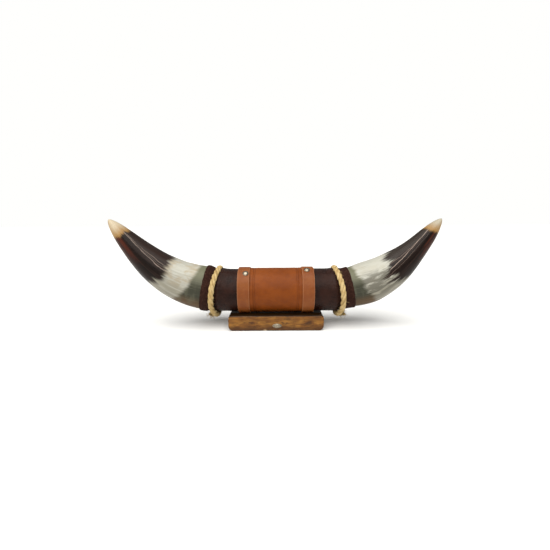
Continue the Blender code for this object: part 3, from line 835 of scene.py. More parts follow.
BELT_RADIUS = (belt_high.z - belt_low.z) / 2
BELT_HALF_WIDTH = belt_high.x
BELT_THICKNESS = 0.0012
STRAP_WIDTH = 0.018
STRAP_MIDDLE = 0.0492
BELT_CREASES = ((0.0058, 0.00040), (0.0084, 0.00030))  # how far inside the strap, and how deep
BELT_CREASE_WIDTH = 0.0006
BELT_SEAM_DEPTH = 0.0007
BELT_SEAM_WIDTH = 0.0007
BELT_WAVER = 0.00012
BELT_LACING = (0.0022, 0.0345)  # the reaches between which each half of its seam is laced
BELT_TURNS = full_turn(300) - 0.7 * np.sin(full_turn(300))  # closer together at the back, where the seam is


def bands_at(xs, radii, turns):
    """Rings of points round the core's axis, at these places along X."""
    radii = np.broadcast_to(np.asarray(radii, float).reshape(len(xs), -1), (len(xs), len(turns)))
    across, up = radii * np.cos(turns), AXIS_HEIGHT + radii * np.sin(turns)
    return np.stack(np.broadcast_arrays(np.asarray(xs)[:, None], across, up), axis=-1)


def overlay(finish, attribute, colour, strength):
    """Lays another shade over a leather where the attribute is 1."""
    tree = finish.node_tree
    shader = tree.nodes["Principled BSDF"]
    dye = shader.inputs["Base Color"].links[0].from_socket
    there = laid_value(tree, attribute)
    laid = mix(tree, rise(tree, there, 0.2, 0.9, 0.0, strength), dye, colour)
    tree.links.new(laid, shader.inputs["Base Color"])


def make_belt():
    inner_edge = STRAP_MIDDLE - STRAP_WIDTH / 2
    fine = [side * (inner_edge - inside + step)
            for inside, _ in BELT_CREASES for side in (-1, 1) for step in np.linspace(-0.0012, 0.0012, 9)]
    xs = np.unique(np.concatenate([np.linspace(-BELT_HALF_WIDTH, BELT_HALF_WIDTH, 120), fine]))
    radii = np.full((len(xs), len(BELT_TURNS)), BELT_RADIUS - 0.0001)
    creased = np.zeros(len(xs))
    for inside, depth in BELT_CREASES:
        groove = np.exp(-((np.abs(xs) - inner_edge + inside) / BELT_CREASE_WIDTH) ** 2)
        radii -= depth * groove[:, None]
        creased += groove
    from_seam = BELT_RADIUS * np.abs((BELT_TURNS + math.pi) % (2 * math.pi) - math.pi)
    radii -= BELT_SEAM_DEPTH * np.exp(-((from_seam / BELT_SEAM_WIDTH) ** 2))[None]
    radii += BELT_WAVER * rough_field(bands_at(xs, radii, BELT_TURNS), 45.0)
    inside_xs = np.linspace(BELT_HALF_WIDTH, -BELT_HALF_WIDTH, 12)
    inside = bands_at(inside_xs, np.full(12, BELT_RADIUS - BELT_THICKNESS), BELT_TURNS)
    worn = np.concatenate([creased, np.zeros(12)])[:, None] * np.ones(len(BELT_TURNS))
    finish = leather_finish("tan_leather", "71370c", "663009", "7b4015", 0.34)
    overlay(finish, "creased", paint("4a1f06"), 0.55)
    rings = np.concatenate([bands_at(xs, radii, BELT_TURNS), inside])
    made = skin("tan_belt", rings, finish, loop=True, laid={"creased": worn})
    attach(made, "root")
    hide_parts("belt")
    pale_thread = thread_finish("waxed_pale_thread", "c9ab80", "8a6a44")
    lift = BELT_RADIUS - CORE_RADIUS - 0.0003
    for name in HORNS:
        lace(f"lacing_belt_{name}", name, *BELT_LACING, lift, pale_thread)


make_belt()


# --------------------------------------------------------------------------------------------------
# The straps
# Two bands of the same hide, a little paler and greyer, each wound once round the belt's edge. The outer
# end has rounded corners and laps the inner one, and the stud holds both. The long edges are rounded, with
# a line inside, and painted paler along them as a painted highlight.

STRAP_THICKNESS = 0.0012
STRAP_LAP = math.radians(28)
STRAP_CLIMB = math.radians(20)  # the turn over which the outer end rises onto the inner one
STRAP_CLIMB_CLEAR = math.radians(4)
STRAP_RADIUS = BELT_RADIUS + GAP
STRAP_STEP = STRAP_THICKNESS + GAP
STRAP_EDGE_ROUND = 0.00045
STRAP_CREASE_INSIDE = 0.0014
STRAP_CREASE_DEPTH = 0.00014
STRAP_CREASE_WIDTH = 0.00035
# How far in from each long edge the painted highlight reaches
STRAP_HIGHLIGHT_WIDTH = 0.0007
STRAP_END_ROUND = 0.0035
STUDS = {"left": (math.radians(52.5), 0.0033), "right": (math.radians(63.5), 0.0016)}  # angle, inboard
STRAP_RINGS = 260
STRAP_SAG = 0.00010
STUD_DIMPLE = 0.00022  # how deep the stud pulls the strap in round it
STUD_DIMPLE_WIDTH = 0.0052


def strap_profile():
    """Points round the strap's section: across, height in its thickness, and 1 at its edges, where a
    highlight is painted.
    """
    half, crease = STRAP_WIDTH / 2, STRAP_WIDTH / 2 - STRAP_CREASE_INSIDE
    face = []
    for x in np.linspace(-half + STRAP_EDGE_ROUND, half - STRAP_EDGE_ROUND, 41):
        groove = math.exp(-((abs(x) - crease) / STRAP_CREASE_WIDTH) ** 2)
        height = STRAP_THICKNESS - STRAP_CREASE_DEPTH * groove
        face.append((x, height, float(math.exp(-((half - abs(x)) / STRAP_HIGHLIGHT_WIDTH)))))
    right = [(half - STRAP_EDGE_ROUND + STRAP_EDGE_ROUND * math.sin(a),
              STRAP_THICKNESS / 2 + (STRAP_THICKNESS / 2) * math.cos(a), 1.0)
             for a in np.linspace(0, math.pi, 7)[1:-1]]
    under = [(x, 0.0, 0.0) for x in np.linspace(half - STRAP_EDGE_ROUND, -half + STRAP_EDGE_ROUND, 9)]
    left = [(-x, height, edge) for x, height, edge in reversed(right)]
    return np.array(face + right + under + left)


def make_strap(name, finish):
    across, height, edge = strap_profile().T
    stud_angle, inboard = STUDS[name]
    middle = HORNS[name]["side"] * STRAP_MIDDLE
    whole = 2 * math.pi + STRAP_LAP
    end_steps = STRAP_END_ROUND / STRAP_RADIUS * (1 - np.cos(np.linspace(0, math.pi / 2, 8)))
    swept = np.unique(np.concatenate([np.linspace(0, whole, STRAP_RINGS), end_steps, whole - end_steps]))
    climb_from = 2 * math.pi - STRAP_CLIMB - STRAP_CLIMB_CLEAR
    low = STRAP_RADIUS + STRAP_STEP * eased((swept - climb_from) / STRAP_CLIMB)
    angle = stud_angle - STRAP_LAP / 2 + swept
    from_end = np.minimum(np.minimum(swept, whole - swept) * STRAP_RADIUS, STRAP_END_ROUND)
    corner = STRAP_END_ROUND - np.sqrt(STRAP_END_ROUND**2 - (STRAP_END_ROUND - from_end) ** 2)
    narrowed = 1 - corner / (STRAP_WIDTH / 2)
    along = np.stack([angle, np.zeros_like(angle), np.full_like(angle, middle * 99)], axis=-1)
    sag = STRAP_SAG * rough_field(along, 2.0)
    radius = low[:, None] + height[None] + sag[:, None]
    x = middle + across[None] * narrowed[:, None]
    to_stud = np.hypot(x - HORNS[name]["side"] * (STRAP_MIDDLE - inboard),
                       STRAP_RADIUS * (angle[:, None] - stud_angle - 2 * math.pi))
    pulled = np.exp(-((to_stud / STUD_DIMPLE_WIDTH) ** 2))
    radius = radius - STUD_DIMPLE * pulled * (height[None] > 0)
    back, up = -radius * np.cos(angle)[:, None], AXIS_HEIGHT + radius * np.sin(angle)[:, None]
    rings = np.stack([x, back, up], axis=-1)
    painted_edge_highlight = np.broadcast_to(edge[None], radius.shape)
    made = skin(
        f"leather_strap_{name}", rings, finish, first=rings[0].mean(axis=0), last=rings[-1].mean(axis=0),
        laid={"painted_edge_highlight": painted_edge_highlight}, crease=math.radians(60))
    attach(made, "root")
    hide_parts(f"strap_{name}")


strap_leather = leather_finish("strap_leather", "77421c", "6e3916", "824c26", 0.30, shine=0.17)
# Painted highlight: the strap's long edges are painted paler, as if lit along their rounded tops.
overlay(strap_leather, "painted_edge_highlight", paint("b07c58"), 0.6)
for side_name in HORNS:
    make_strap(side_name, strap_leather)


# --------------------------------------------------------------------------------------------------
# The studs
# A domed nickel-plated nail through each strap's lap into the core. The head is a thin cap with a rolled
# rim.

STUD_HEAD_RADIUS = 0.0045
STUD_HEAD_HEIGHT = 0.0024
STUD_RIM = 0.00042
STUD_SHANK_RADIUS = 0.0010
STUD_LENGTH = 0.013
STUD_SINK = 0.0002  # how far the rim presses into the strap


def turned(name, profile, finish, place, direction, sides=64):
    """A lathe shape, from radius and height pairs along its axis, stood along a direction."""
    turns = full_turn(sides)
    frame_of = Vector(direction).to_track_quat("Z", "Y").to_matrix()
    rows = [(r * np.cos(turns), r * np.sin(turns), np.full(sides, h)) for r, h in profile[1:-1]]
    rings = np.stack([np.stack(row, axis=-1) for row in rows])
    rings = rings @ np.array(frame_of).T + np.array(place)
    ends = [Vector(place) + frame_of @ Vector((0, 0, profile[k][1])) for k in (0, -1)]
    return skin(name, rings, finish, first=ends[0], last=ends[1])


def plate_finish(name, bright, dull, rough):
    """Plated metal, faintly pitted, with a duller bloom in patches."""
    finish, tree, shader = start_finish(name, metallic=1.0)
    place = add(tree, "ShaderNodeTexCoord").outputs["Object"]
    bloom = speckle(tree, place, 600.0, detail=4.0)
    pits = speckle(tree, place, 2400.0, detail=2.0)
    plate = mix(tree, rise(tree, bloom, 0.42, 0.7), paint(bright), paint(dull))
    tree.links.new(plate, shader.inputs["Base Color"])
    tree.links.new(rise(tree, bloom, 0.3, 0.7, rough, rough + 0.18), shader.inputs["Roughness"])
    dent(tree, shader, pits, 0.00003)
    return finish


nickel = plate_finish("worn_nickel", "958c7c", "6b6355", 0.24)


def make_stud(name):
    angle, inboard = STUDS[name]
    outward = Vector((0, -math.cos(angle), math.sin(angle)))
    seat = STRAP_RADIUS + STRAP_STEP + STRAP_THICKNESS + GAP
    place = Vector((HORNS[name]["side"] * (STRAP_MIDDLE - inboard), 0, AXIS_HEIGHT))
    place += outward * (seat - STUD_SINK)
    rim = [(STUD_HEAD_RADIUS - STUD_RIM + STUD_RIM * math.cos(a), STUD_RIM + STUD_RIM * math.sin(a))
           for a in np.linspace(-math.pi / 2, math.radians(60), 8)]
    dome_radius = STUD_HEAD_RADIUS - 1.3 * STUD_RIM
    dome = [(dome_radius * math.cos(a), STUD_RIM + (STUD_HEAD_HEIGHT - STUD_RIM) * math.sin(a))
            for a in np.linspace(math.radians(14), math.pi / 2, 12)]
    shank = [(0.0, -STUD_LENGTH), (STUD_SHANK_RADIUS * 0.3, -STUD_LENGTH + 0.0003),
             (STUD_SHANK_RADIUS, -STUD_LENGTH + 0.0025), (STUD_SHANK_RADIUS, 0.0)]
    made = turned(f"stud_nail_{name}", shank + rim + dome, nickel, place, outward)
    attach(made, "root")
    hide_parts(f"stud_{name}")


for side_name in HORNS:
    make_stud(side_name)


# --------------------------------------------------------------------------------------------------
# The ropes
# One turn of straw-coloured rope ties each cuff down over the joint. Three soft strands, each of seven
# yarns, are laid up together. The ends lie side by side underneath, partly unlaid and frayed, and loose
# fibres stand out all over.

ROPE_WIDTH = 0.0086
ROPE_THIN = 0.0052  # pressed flat over the top
ROPE_FRONT_LAP = math.radians(28)  # how far the end from the front runs on under the bottom
ROPE_BACK_LAP = math.radians(6)
ROPE_FRONT_SHIFT = -0.0062  # each end's shift outboard where the two lie side by side
ROPE_BACK_SHIFT = 0.0032
ROPE_SPREAD = math.radians(50)
ROPE_CLIMB = 0.27  # how much it rides up the cuff for each metre that it sits outboard
ROPE_ENDS_OUT = {"left": 0.0, "right": 0.0017}  # how much further outboard both its ends lie
ROPE_ENDS_LIFT = {"left": 0.0026, "right": 0.0015}  # how far they stand off the leather
ROPE_CLEARANCE = 0.0012  # of its plain outline from the leather
ROPE_SINK = 0.00035  # taken off that clearance
STRAND_RADIUS = 0.00232
LAY_LENGTH = 0.030  # of one strand's full turn
YARN_TURNS = 62.0  # of the yarns in a strand, for each metre
UNLAID_LENGTH = 0.006
FIBRE_RADIUS = 0.00009
FIBRES_PER_AREA = 60000.0  # for each square metre of strand
TUFT_DENSITY = 9.0  # times that, in the tufts at the frayed ends
STRAY_SHARE = 0.035  # of FIBRES_PER_AREA, as long loose fibres
STRAND_LUMPS = 0.0014  # how much a strand's thickness varies
END_SLACK = 0.55  # how much the strands spread at the ends
ROPE_STEP = 0.00075
ROPE_SEEDS = {"left": 3, "right": 8}


def random_between(tree, low, high, seed):
    """A random number, or three, for each point."""
    three = isinstance(low, tuple)
    kind, first = ("FLOAT_VECTOR", 0) if three else ("FLOAT", 2)
    node = add(tree, "FunctionNodeRandomValue", {first: low, first + 1: high, "Seed": seed}, data_type=kind)
    return node.outputs[0 if three else 1]


def store(tree, geometry, label, value, kind="FLOAT"):
    node = add(tree, "GeometryNodeStoreNamedAttribute", {"Geometry": geometry, "Name": label}, data_type=kind)
    if isinstance(value, bpy.types.NodeSocket):
        tree.links.new(value, node.inputs["Value"])
    else:
        node.inputs["Value"].default_value = value
    return node.outputs[0]


def strand_section(tree, radius):
    """A round section with seven shallow lobes, one for each yarn."""
    ring = add(tree, "GeometryNodeCurvePrimitiveCircle", {"Resolution": 35, "Radius": 1.0}).outputs[0]
    share = add(tree, "GeometryNodeSplineParameter").outputs["Factor"]
    lobes = calc(tree, "COSINE", times(tree, share, 7 * 2 * math.pi))
    size = times(tree, radius, plus(tree, 0.955, times(tree, lobes, 0.055)))
    moved = steer(tree, "SCALE", add(tree, "GeometryNodeInputPosition").outputs[0], size)
    return add(tree, "GeometryNodeSetPosition", {"Geometry": ring, "Position": moved}).outputs[0]


def fibres_on(tree, surface, density, low_scale, high_scale, radius, seed):
    """Short bent fibres standing out of a surface at random."""
    thrown = {"Mesh": surface, "Density": density, "Seed": seed}
    spots = add(tree, "GeometryNodeDistributePointsOnFaces", thrown)
    bend = add(tree, "GeometryNodeCurveQuadraticBezier", {
        "Resolution": 5, "Start": (0, 0, -0.0004), "Middle": (0, 0, 0.0016), "End": (0.0011, 0, 0.0030),
    }).outputs[0]
    section = add(tree, "GeometryNodeCurvePrimitiveCircle", {"Resolution": 3, "Radius": radius}).outputs[0]
    fibre = add(tree, "GeometryNodeCurveToMesh", {"Curve": bend, "Profile Curve": section, "Fill Caps": True})
    spin = random_between(tree, (0.55, 0.0, 0.0), (1.35, 0.0, 2 * math.pi), seed)
    spin = add(tree, "FunctionNodeEulerToRotation", {0: spin}).outputs[0]
    leaning = add(tree, "FunctionNodeRotateRotation", {
        "Rotation": spots.outputs["Rotation"], "Rotate By": spin,
    }, rotation_space="LOCAL").outputs[0]
    standing = add(tree, "GeometryNodeInstanceOnPoints", {
        "Points": spots.outputs["Points"], "Instance": fibre.outputs[0], "Rotation": leaning,
        "Scale": random_between(tree, low_scale, high_scale, seed),
    }).outputs[0]
    solid = add(tree, "GeometryNodeRealizeInstances", {0: standing}).outputs[0]
    return store(tree, solid, "outer", 1.0)


def laid_rope_tree():
    """Lays three strands round a path. The path says which way is "across" it and "outward", how "flat"
    it is pressed, and, as "end", where it is unlaid."""
    tree, given = new_node_group("laid_rope", (
        "Rope Radius", "Strand Radius", "Lay Length", "Yarn Turns", "Fibre Radius", "Fibres Per Area",
        "Seed"))
    line = add(tree, "GeometryNodeMeshToCurve", {"Mesh": given["Geometry"]}).outputs[0]
    spaced = {"Curve": line, "Length": ROPE_STEP}
    line = add(tree, "GeometryNodeResampleCurve", spaced, mode="LENGTH").outputs[0]
    line = store(tree, line, "middle", add(tree, "GeometryNodeInputPosition").outputs[0], "FLOAT_VECTOR")
    line = store(tree, line, "run", add(tree, "GeometryNodeSplineParameter").outputs["Length"])
    three = add(tree, "GeometryNodeDuplicateElements", {"Geometry": line, "Amount": 3}, domain="SPLINE")
    turn = calc(tree, "DIVIDE", named(tree, "run", "FLOAT"), given["Lay Length"])
    turn = plus(tree, turn, calc(tree, "DIVIDE", three.outputs["Duplicate Index"], 3.0))
    turn = times(tree, turn, -2 * math.pi)
    slack = plus(tree, 1.0, times(tree, named(tree, "end", "FLOAT"), END_SLACK))
    off_centre = times(tree, calc(tree, "SUBTRACT", given["Rope Radius"], given["Strand Radius"]), slack)
    aside = times(tree, calc(tree, "COSINE", turn), off_centre)
    across = steer(tree, "SCALE", named(tree, "across"), aside)
    rising = times(tree, calc(tree, "SINE", turn), off_centre)
    offset = steer(tree, "ADD", across, steer(tree, "SCALE", named(tree, "outward"), rising))
    lumps = speckle(tree, steer(tree, "ADD", named(tree, "middle"), offset), 260.0, detail=1.0)
    laid_up = {"Geometry": three.outputs[0], "Offset": offset}
    strands = add(tree, "GeometryNodeSetPosition", laid_up).outputs[0]
    strands = store(tree, strands, "lumps", lumps)
    yarn_twist = times(tree, given["Yarn Turns"], 2 * math.pi)
    twist = times(tree, named(tree, "run", "FLOAT"), yarn_twist)
    strands = add(tree, "GeometryNodeSetCurveTilt", {"Curve": strands, "Tilt": twist}).outputs[0]
    rope = add(tree, "GeometryNodeCurveToMesh", {
        "Curve": strands, "Profile Curve": strand_section(tree, given["Strand Radius"]), "Fill Caps": True,
    }).outputs[0]

    position = add(tree, "GeometryNodeInputPosition").outputs[0]
    normal = add(tree, "GeometryNodeInputNormal").outputs[0]
    fat = times(tree, calc(tree, "SUBTRACT", named(tree, "lumps", "FLOAT"), 0.5), STRAND_LUMPS)
    swelling = steer(tree, "SCALE", normal, fat)
    rope = add(tree, "GeometryNodeSetPosition", {"Geometry": rope, "Offset": swelling}).outputs[0]
    from_middle = steer(tree, "SUBTRACT", position, named(tree, "middle"))
    distance = calc(tree, "DIVIDE", steer(tree, "LENGTH", from_middle), given["Rope Radius"])
    # How far out from the rope's middle each point lies, which the straw paint turns into painted shade
    # between the strands.
    rope = store(tree, rope, "outer", rise(tree, distance, 0.45, 0.98))
    height = steer(tree, "DOT_PRODUCT", from_middle, named(tree, "outward"))
    press = times(tree, height, calc(tree, "SUBTRACT", named(tree, "flat", "FLOAT"), 1.0))
    pressed = steer(tree, "SCALE", named(tree, "outward"), press)
    rope = add(tree, "GeometryNodeSetPosition", {"Geometry": rope, "Offset": pressed}).outputs[0]

    joined = add(tree, "GeometryNodeJoinGeometry")
    tree.links.new(rope, joined.inputs[0])
    everywhere = given["Fibres Per Area"]
    tufted = times(tree, everywhere, TUFT_DENSITY)
    at_ends = times(tree, named(tree, "end", "FLOAT"), tufted)
    few = times(tree, everywhere, STRAY_SHARE)
    second_seed, third_seed = (plus(tree, given["Seed"], step) for step in (1.0, 2.0))
    for density, (short, long), seed in (
        (everywhere, (0.35, 1.0), given["Seed"]),
        (at_ends, (0.8, 1.9), second_seed),
        (few, (1.2, 2.3), third_seed),
    ):
        hairs = fibres_on(tree, rope, density, short, long, given["Fibre Radius"], seed)
        tree.links.new(hairs, joined.inputs[0])
    smooth = add(tree, "GeometryNodeSetShadeSmooth", {0: joined.outputs[0]}).outputs[0]
    solid = add(tree, "GeometryNodeRealizeInstances", {0: smooth}).outputs[0]
    done = add(tree, "GeometryNodeSetMaterial", {"Geometry": solid, "Material": given["Finish"]}).outputs[0]
    tree.links.new(done, tree.nodes.new("NodeGroupOutput").inputs[0])
    return tree


def straw_finish():
    finish, tree, shader = start_finish("straw_rope", roughness=0.9, specular_ior_level=0.25)
    place = add(tree, "ShaderNodeTexCoord").outputs["Object"]
    outer = laid_value(tree, "outer")
    blotches = speckle(tree, place, 120.0, detail=3.0)
    hairs = speckle(tree, place, 1900.0, detail=3.0, roughness=0.7)
    straw = layered(
        tree, paint("a58c5c"),
        (blotches, 0.35, 0.65, 1.0, "bca677"),
        (hairs, 0.4, 0.75, 0.55, "8a6d40"),
        # Painted shade: darker towards the rope's middle, between the strands.
        (outer, 0.6, 0.0, 0.75, "5a4022"),
    )
    tree.links.new(straw, shader.inputs["Base Color"])
    dent(tree, shader, hairs, 0.00025)
    return finish


def rope_path(name):
    """The rope's middle from its front end, under the bottom, up the front and over to the back."""
    horn = HORNS[name]
    turn = np.linspace(-ROPE_FRONT_LAP, 2 * math.pi + ROPE_BACK_LAP, 260)
    place, along, back, up = (v[0] for v in stations(name, [horn["joint"]]))
    outboard = along * horn["side"]
    near_end = 1 - eased((turn - ROPE_BACK_LAP) / ROPE_SPREAD)
    far_end = 1 - eased((2 * math.pi - ROPE_FRONT_LAP - turn) / ROPE_SPREAD)
    drift = rope_drift(name, turn)
    drift += (ROPE_FRONT_SHIFT + ROPE_ENDS_OUT[name]) * near_end
    drift += (ROPE_BACK_SHIFT + ROPE_ENDS_OUT[name]) * far_end
    thickness = ROPE_THIN + (ROPE_WIDTH - ROPE_THIN) * (1 + np.cos(turn)) / 2
    radius = WAIST_RADIUS + GAP + SLEEVE_THICKNESS + ROPE_CLEARANCE - ROPE_SINK + thickness / 2
    radius += ROPE_ENDS_LIFT[name] * np.maximum(near_end, far_end) + ROPE_CLIMB * np.maximum(drift, 0)
    outward = -np.cos(turn)[:, None] * up - np.sin(turn)[:, None] * back
    points = place + outboard * drift[:, None] + outward * radius[:, None]
    run = np.concatenate([[0], np.cumsum(np.linalg.norm(np.diff(points, axis=0), axis=1))])
    end = 1 - eased(np.minimum(run, run[-1] - run) / UNLAID_LENGTH)
    return points, {"across": np.broadcast_to(outboard, points.shape), "outward": outward,
                    "flat": thickness / ROPE_WIDTH, "end": end}


LAID_ROPE = laid_rope_tree()
STRAW = straw_finish()
for side_name in HORNS:
    rope_points, rope_fields = rope_path(side_name)
    rope = grow(f"tied_rope_{side_name}", LAID_ROPE, rope_points, rope_fields, {
        "Rope Radius": ROPE_WIDTH / 2, "Strand Radius": STRAND_RADIUS, "Lay Length": LAY_LENGTH,
        "Yarn Turns": YARN_TURNS, "Fibre Radius": FIBRE_RADIUS, "Fibres Per Area": FIBRES_PER_AREA,
        "Seed": float(ROPE_SEEDS[side_name]), "Finish": STRAW,
    })
    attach(rope, "root")
    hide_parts(f"rope_{side_name}")


# --------------------------------------------------------------------------------------------------
# The foot block
# An offcut of knotty softwood under brown varnish, its corners sanded round. A shallow hollow along its top
# seats the strapped core, and two counterbored holes underneath take the screws. Its lower front edge is
# chipped.

BLOCK_LOW, BLOCK_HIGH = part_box("block")
BLOCK_LOWER_CORNER = 0.0075
BLOCK_UPPER_CORNER = 0.0050
BLOCK_EDGE = 0.0020
SEAT_RADIUS = STRAP_RADIUS + STRAP_THICKNESS + GAP
BLOCK_WAVER = 0.00022
CHIP = (-0.0171, 0.0003)  # where along the front's lower edge, and how high
CHIP_SIZE = 0.0016
CHIP_DEPTH = (0.0, 0.0014, 0.0009)
CHIP_STRETCH = 1.3  # along the grain
# How far in from every edge the painted edge shade reaches
EDGE_SHADE_WIDTH = 0.0011
SCREW_X = 0.030
SCREW_HEAD_Z = 0.0050
SCREW_HEAD_RADIUS = 0.0042
SCREW_HEAD_HEIGHT = 0.0030
SCREW_RADIUS = 0.0021
SCREW_LENGTH = 0.034
SCREW_CLEARANCE = 0.0004


def rounding(from_end, radius):
    """How far a corner of this radius falls away at a distance from the end."""
    left = radius - np.minimum(from_end, radius)
    return radius - np.sqrt(radius**2 - left**2)


def block_section(x):
    """The block's outline across the grain: bottom, back, hollowed top and front, with rounded corners."""
    from_end = BLOCK_HIGH.x - abs(x)
    low = rounding(from_end, BLOCK_LOWER_CORNER)
    high = BLOCK_HIGH.z - rounding(from_end, BLOCK_UPPER_CORNER)
    half = BLOCK_HIGH.y - rounding(from_end, BLOCK_EDGE)
    flat, edge = half - BLOCK_EDGE, BLOCK_EDGE

    def corner(y, z, start):
        angles = np.radians(start) + np.linspace(0, math.pi / 2, 7)
        return np.stack([y + edge * np.cos(angles), z + edge * np.sin(angles)], axis=-1)

    top_y = np.linspace(flat, -flat, 57)[1:-1]
    seat = AXIS_HEIGHT - np.sqrt(np.maximum(SEAT_RADIUS**2 - top_y**2, 0))
    seat = np.where(np.abs(top_y) < SEAT_RADIUS, seat, high)
    side_z = np.linspace(low + edge, high - edge, 38)[1:-1]
    bottom_y = np.linspace(-flat, flat, 36)[1:-1]
    outline = np.concatenate([
        np.stack([bottom_y, np.full_like(bottom_y, low)], axis=-1),
        corner(flat, low + edge, -90),
        np.stack([np.full_like(side_z, half), side_z], axis=-1),
        corner(flat, high - edge, 0),
        np.stack([top_y, np.minimum(seat, high)], axis=-1),
        corner(-flat, high - edge, 90),
        np.stack([np.full_like(side_z, -half), side_z[::-1]], axis=-1),
        corner(-flat, low + edge, 180),
    ])
    return np.concatenate([np.full((len(outline), 1), x), outline], axis=1)


def varnish_finish():
    """Knotty wood, grain along X, under worn varnish; darker at the foot, painted shade on edges and top."""
    finish, tree, shader = start_finish(
        "varnished_wood", coat_weight=0.08, coat_roughness=0.3, specular_ior_level=0.2)
    place = add(tree, "ShaderNodeTexCoord").outputs["Object"]
    knots = add(tree, "ShaderNodeTexVoronoi", {
        "Vector": add(tree, "ShaderNodeMapping", {"Vector": place, "Scale": (38.0, 55.0, 70.0)}).outputs[0],
        "Scale": 1.0, "Randomness": 1.0,
    }).outputs["Distance"]
    wander = speckle(tree, place, 1.0, detail=3.0, stretch=(30.0, 90.0, 90.0))
    warp = plus(tree, times(tree, knots, 2.2), times(tree, wander, 3.5))
    height = add(tree, "ShaderNodeSeparateXYZ", {0: place}).outputs["Z"]
    rings = plus(tree, times(tree, height, 420.0), times(tree, warp, 3.0))
    rings = plus(tree, times(tree, calc(tree, "SINE", rings), 0.5), 0.5)
    fibres = speckle(tree, place, 1.0, detail=4.0, roughness=0.65, stretch=(70.0, 900.0, 900.0))
    blotches = speckle(tree, place, 1.0, detail=4.0, roughness=0.6, stretch=(45.0, 160.0, 260.0))
    flecks = speckle(tree, place, 1.0, detail=4.0, roughness=0.7, stretch=(130.0, 420.0, 620.0))
    edge = laid_value(tree, "edge")
    chipped = laid_value(tree, "chipped")
    wood = mix(tree, rise(tree, rings, 0.1, 0.95), paint("6f4514"), paint("835820"))
    wood = mix(tree, rise(tree, blotches, 0.34, 0.60, 0.35, 1.0), paint("53300d"), wood)
    wood = layered(
        tree, wood,
        (fibres, 0.5, 0.75, 0.6, "3f2408"),
        (blotches, 0.62, 0.78, 0.5, "a37434"),
        (knots, 0.30, 0.08, 0.75, "2b1204"),
        (flecks, 0.52, 0.66, 0.8, "2e1706"),
    )
    foot = plus(tree, height, times(tree, calc(tree, "SUBTRACT", blotches, 0.5), 0.012))
    wood = layered(
        tree, wood,
        # Darker towards the foot
        (foot, 0.0115, 0.0020, 0.75, "351d07"),
        # Painted shade along every edge, meant for the upper front edge under the core
        (edge, 0.25, 0.9, 0.7, "241203"),
    )
    # Painted shade: the faces that look up, under the core, are painted near black as if in its shadow.
    facing = add(tree, "ShaderNodeNewGeometry").outputs["Normal"]
    facing_up = add(tree, "ShaderNodeSeparateXYZ", {0: facing}).outputs["Z"]
    wood = mix(tree, rise(tree, facing_up, 0.15, 0.75, 0.0, 0.93), wood, paint("140801"))
    wood = mix(tree, chipped, wood, paint("cfae7c"))
    tree.links.new(wood, shader.inputs["Base Color"])
    tree.links.new(rise(tree, fibres, 0.3, 0.7, 0.42, 0.6), shader.inputs["Roughness"])
    dent(tree, shader, fibres, 0.00012)
    return finish


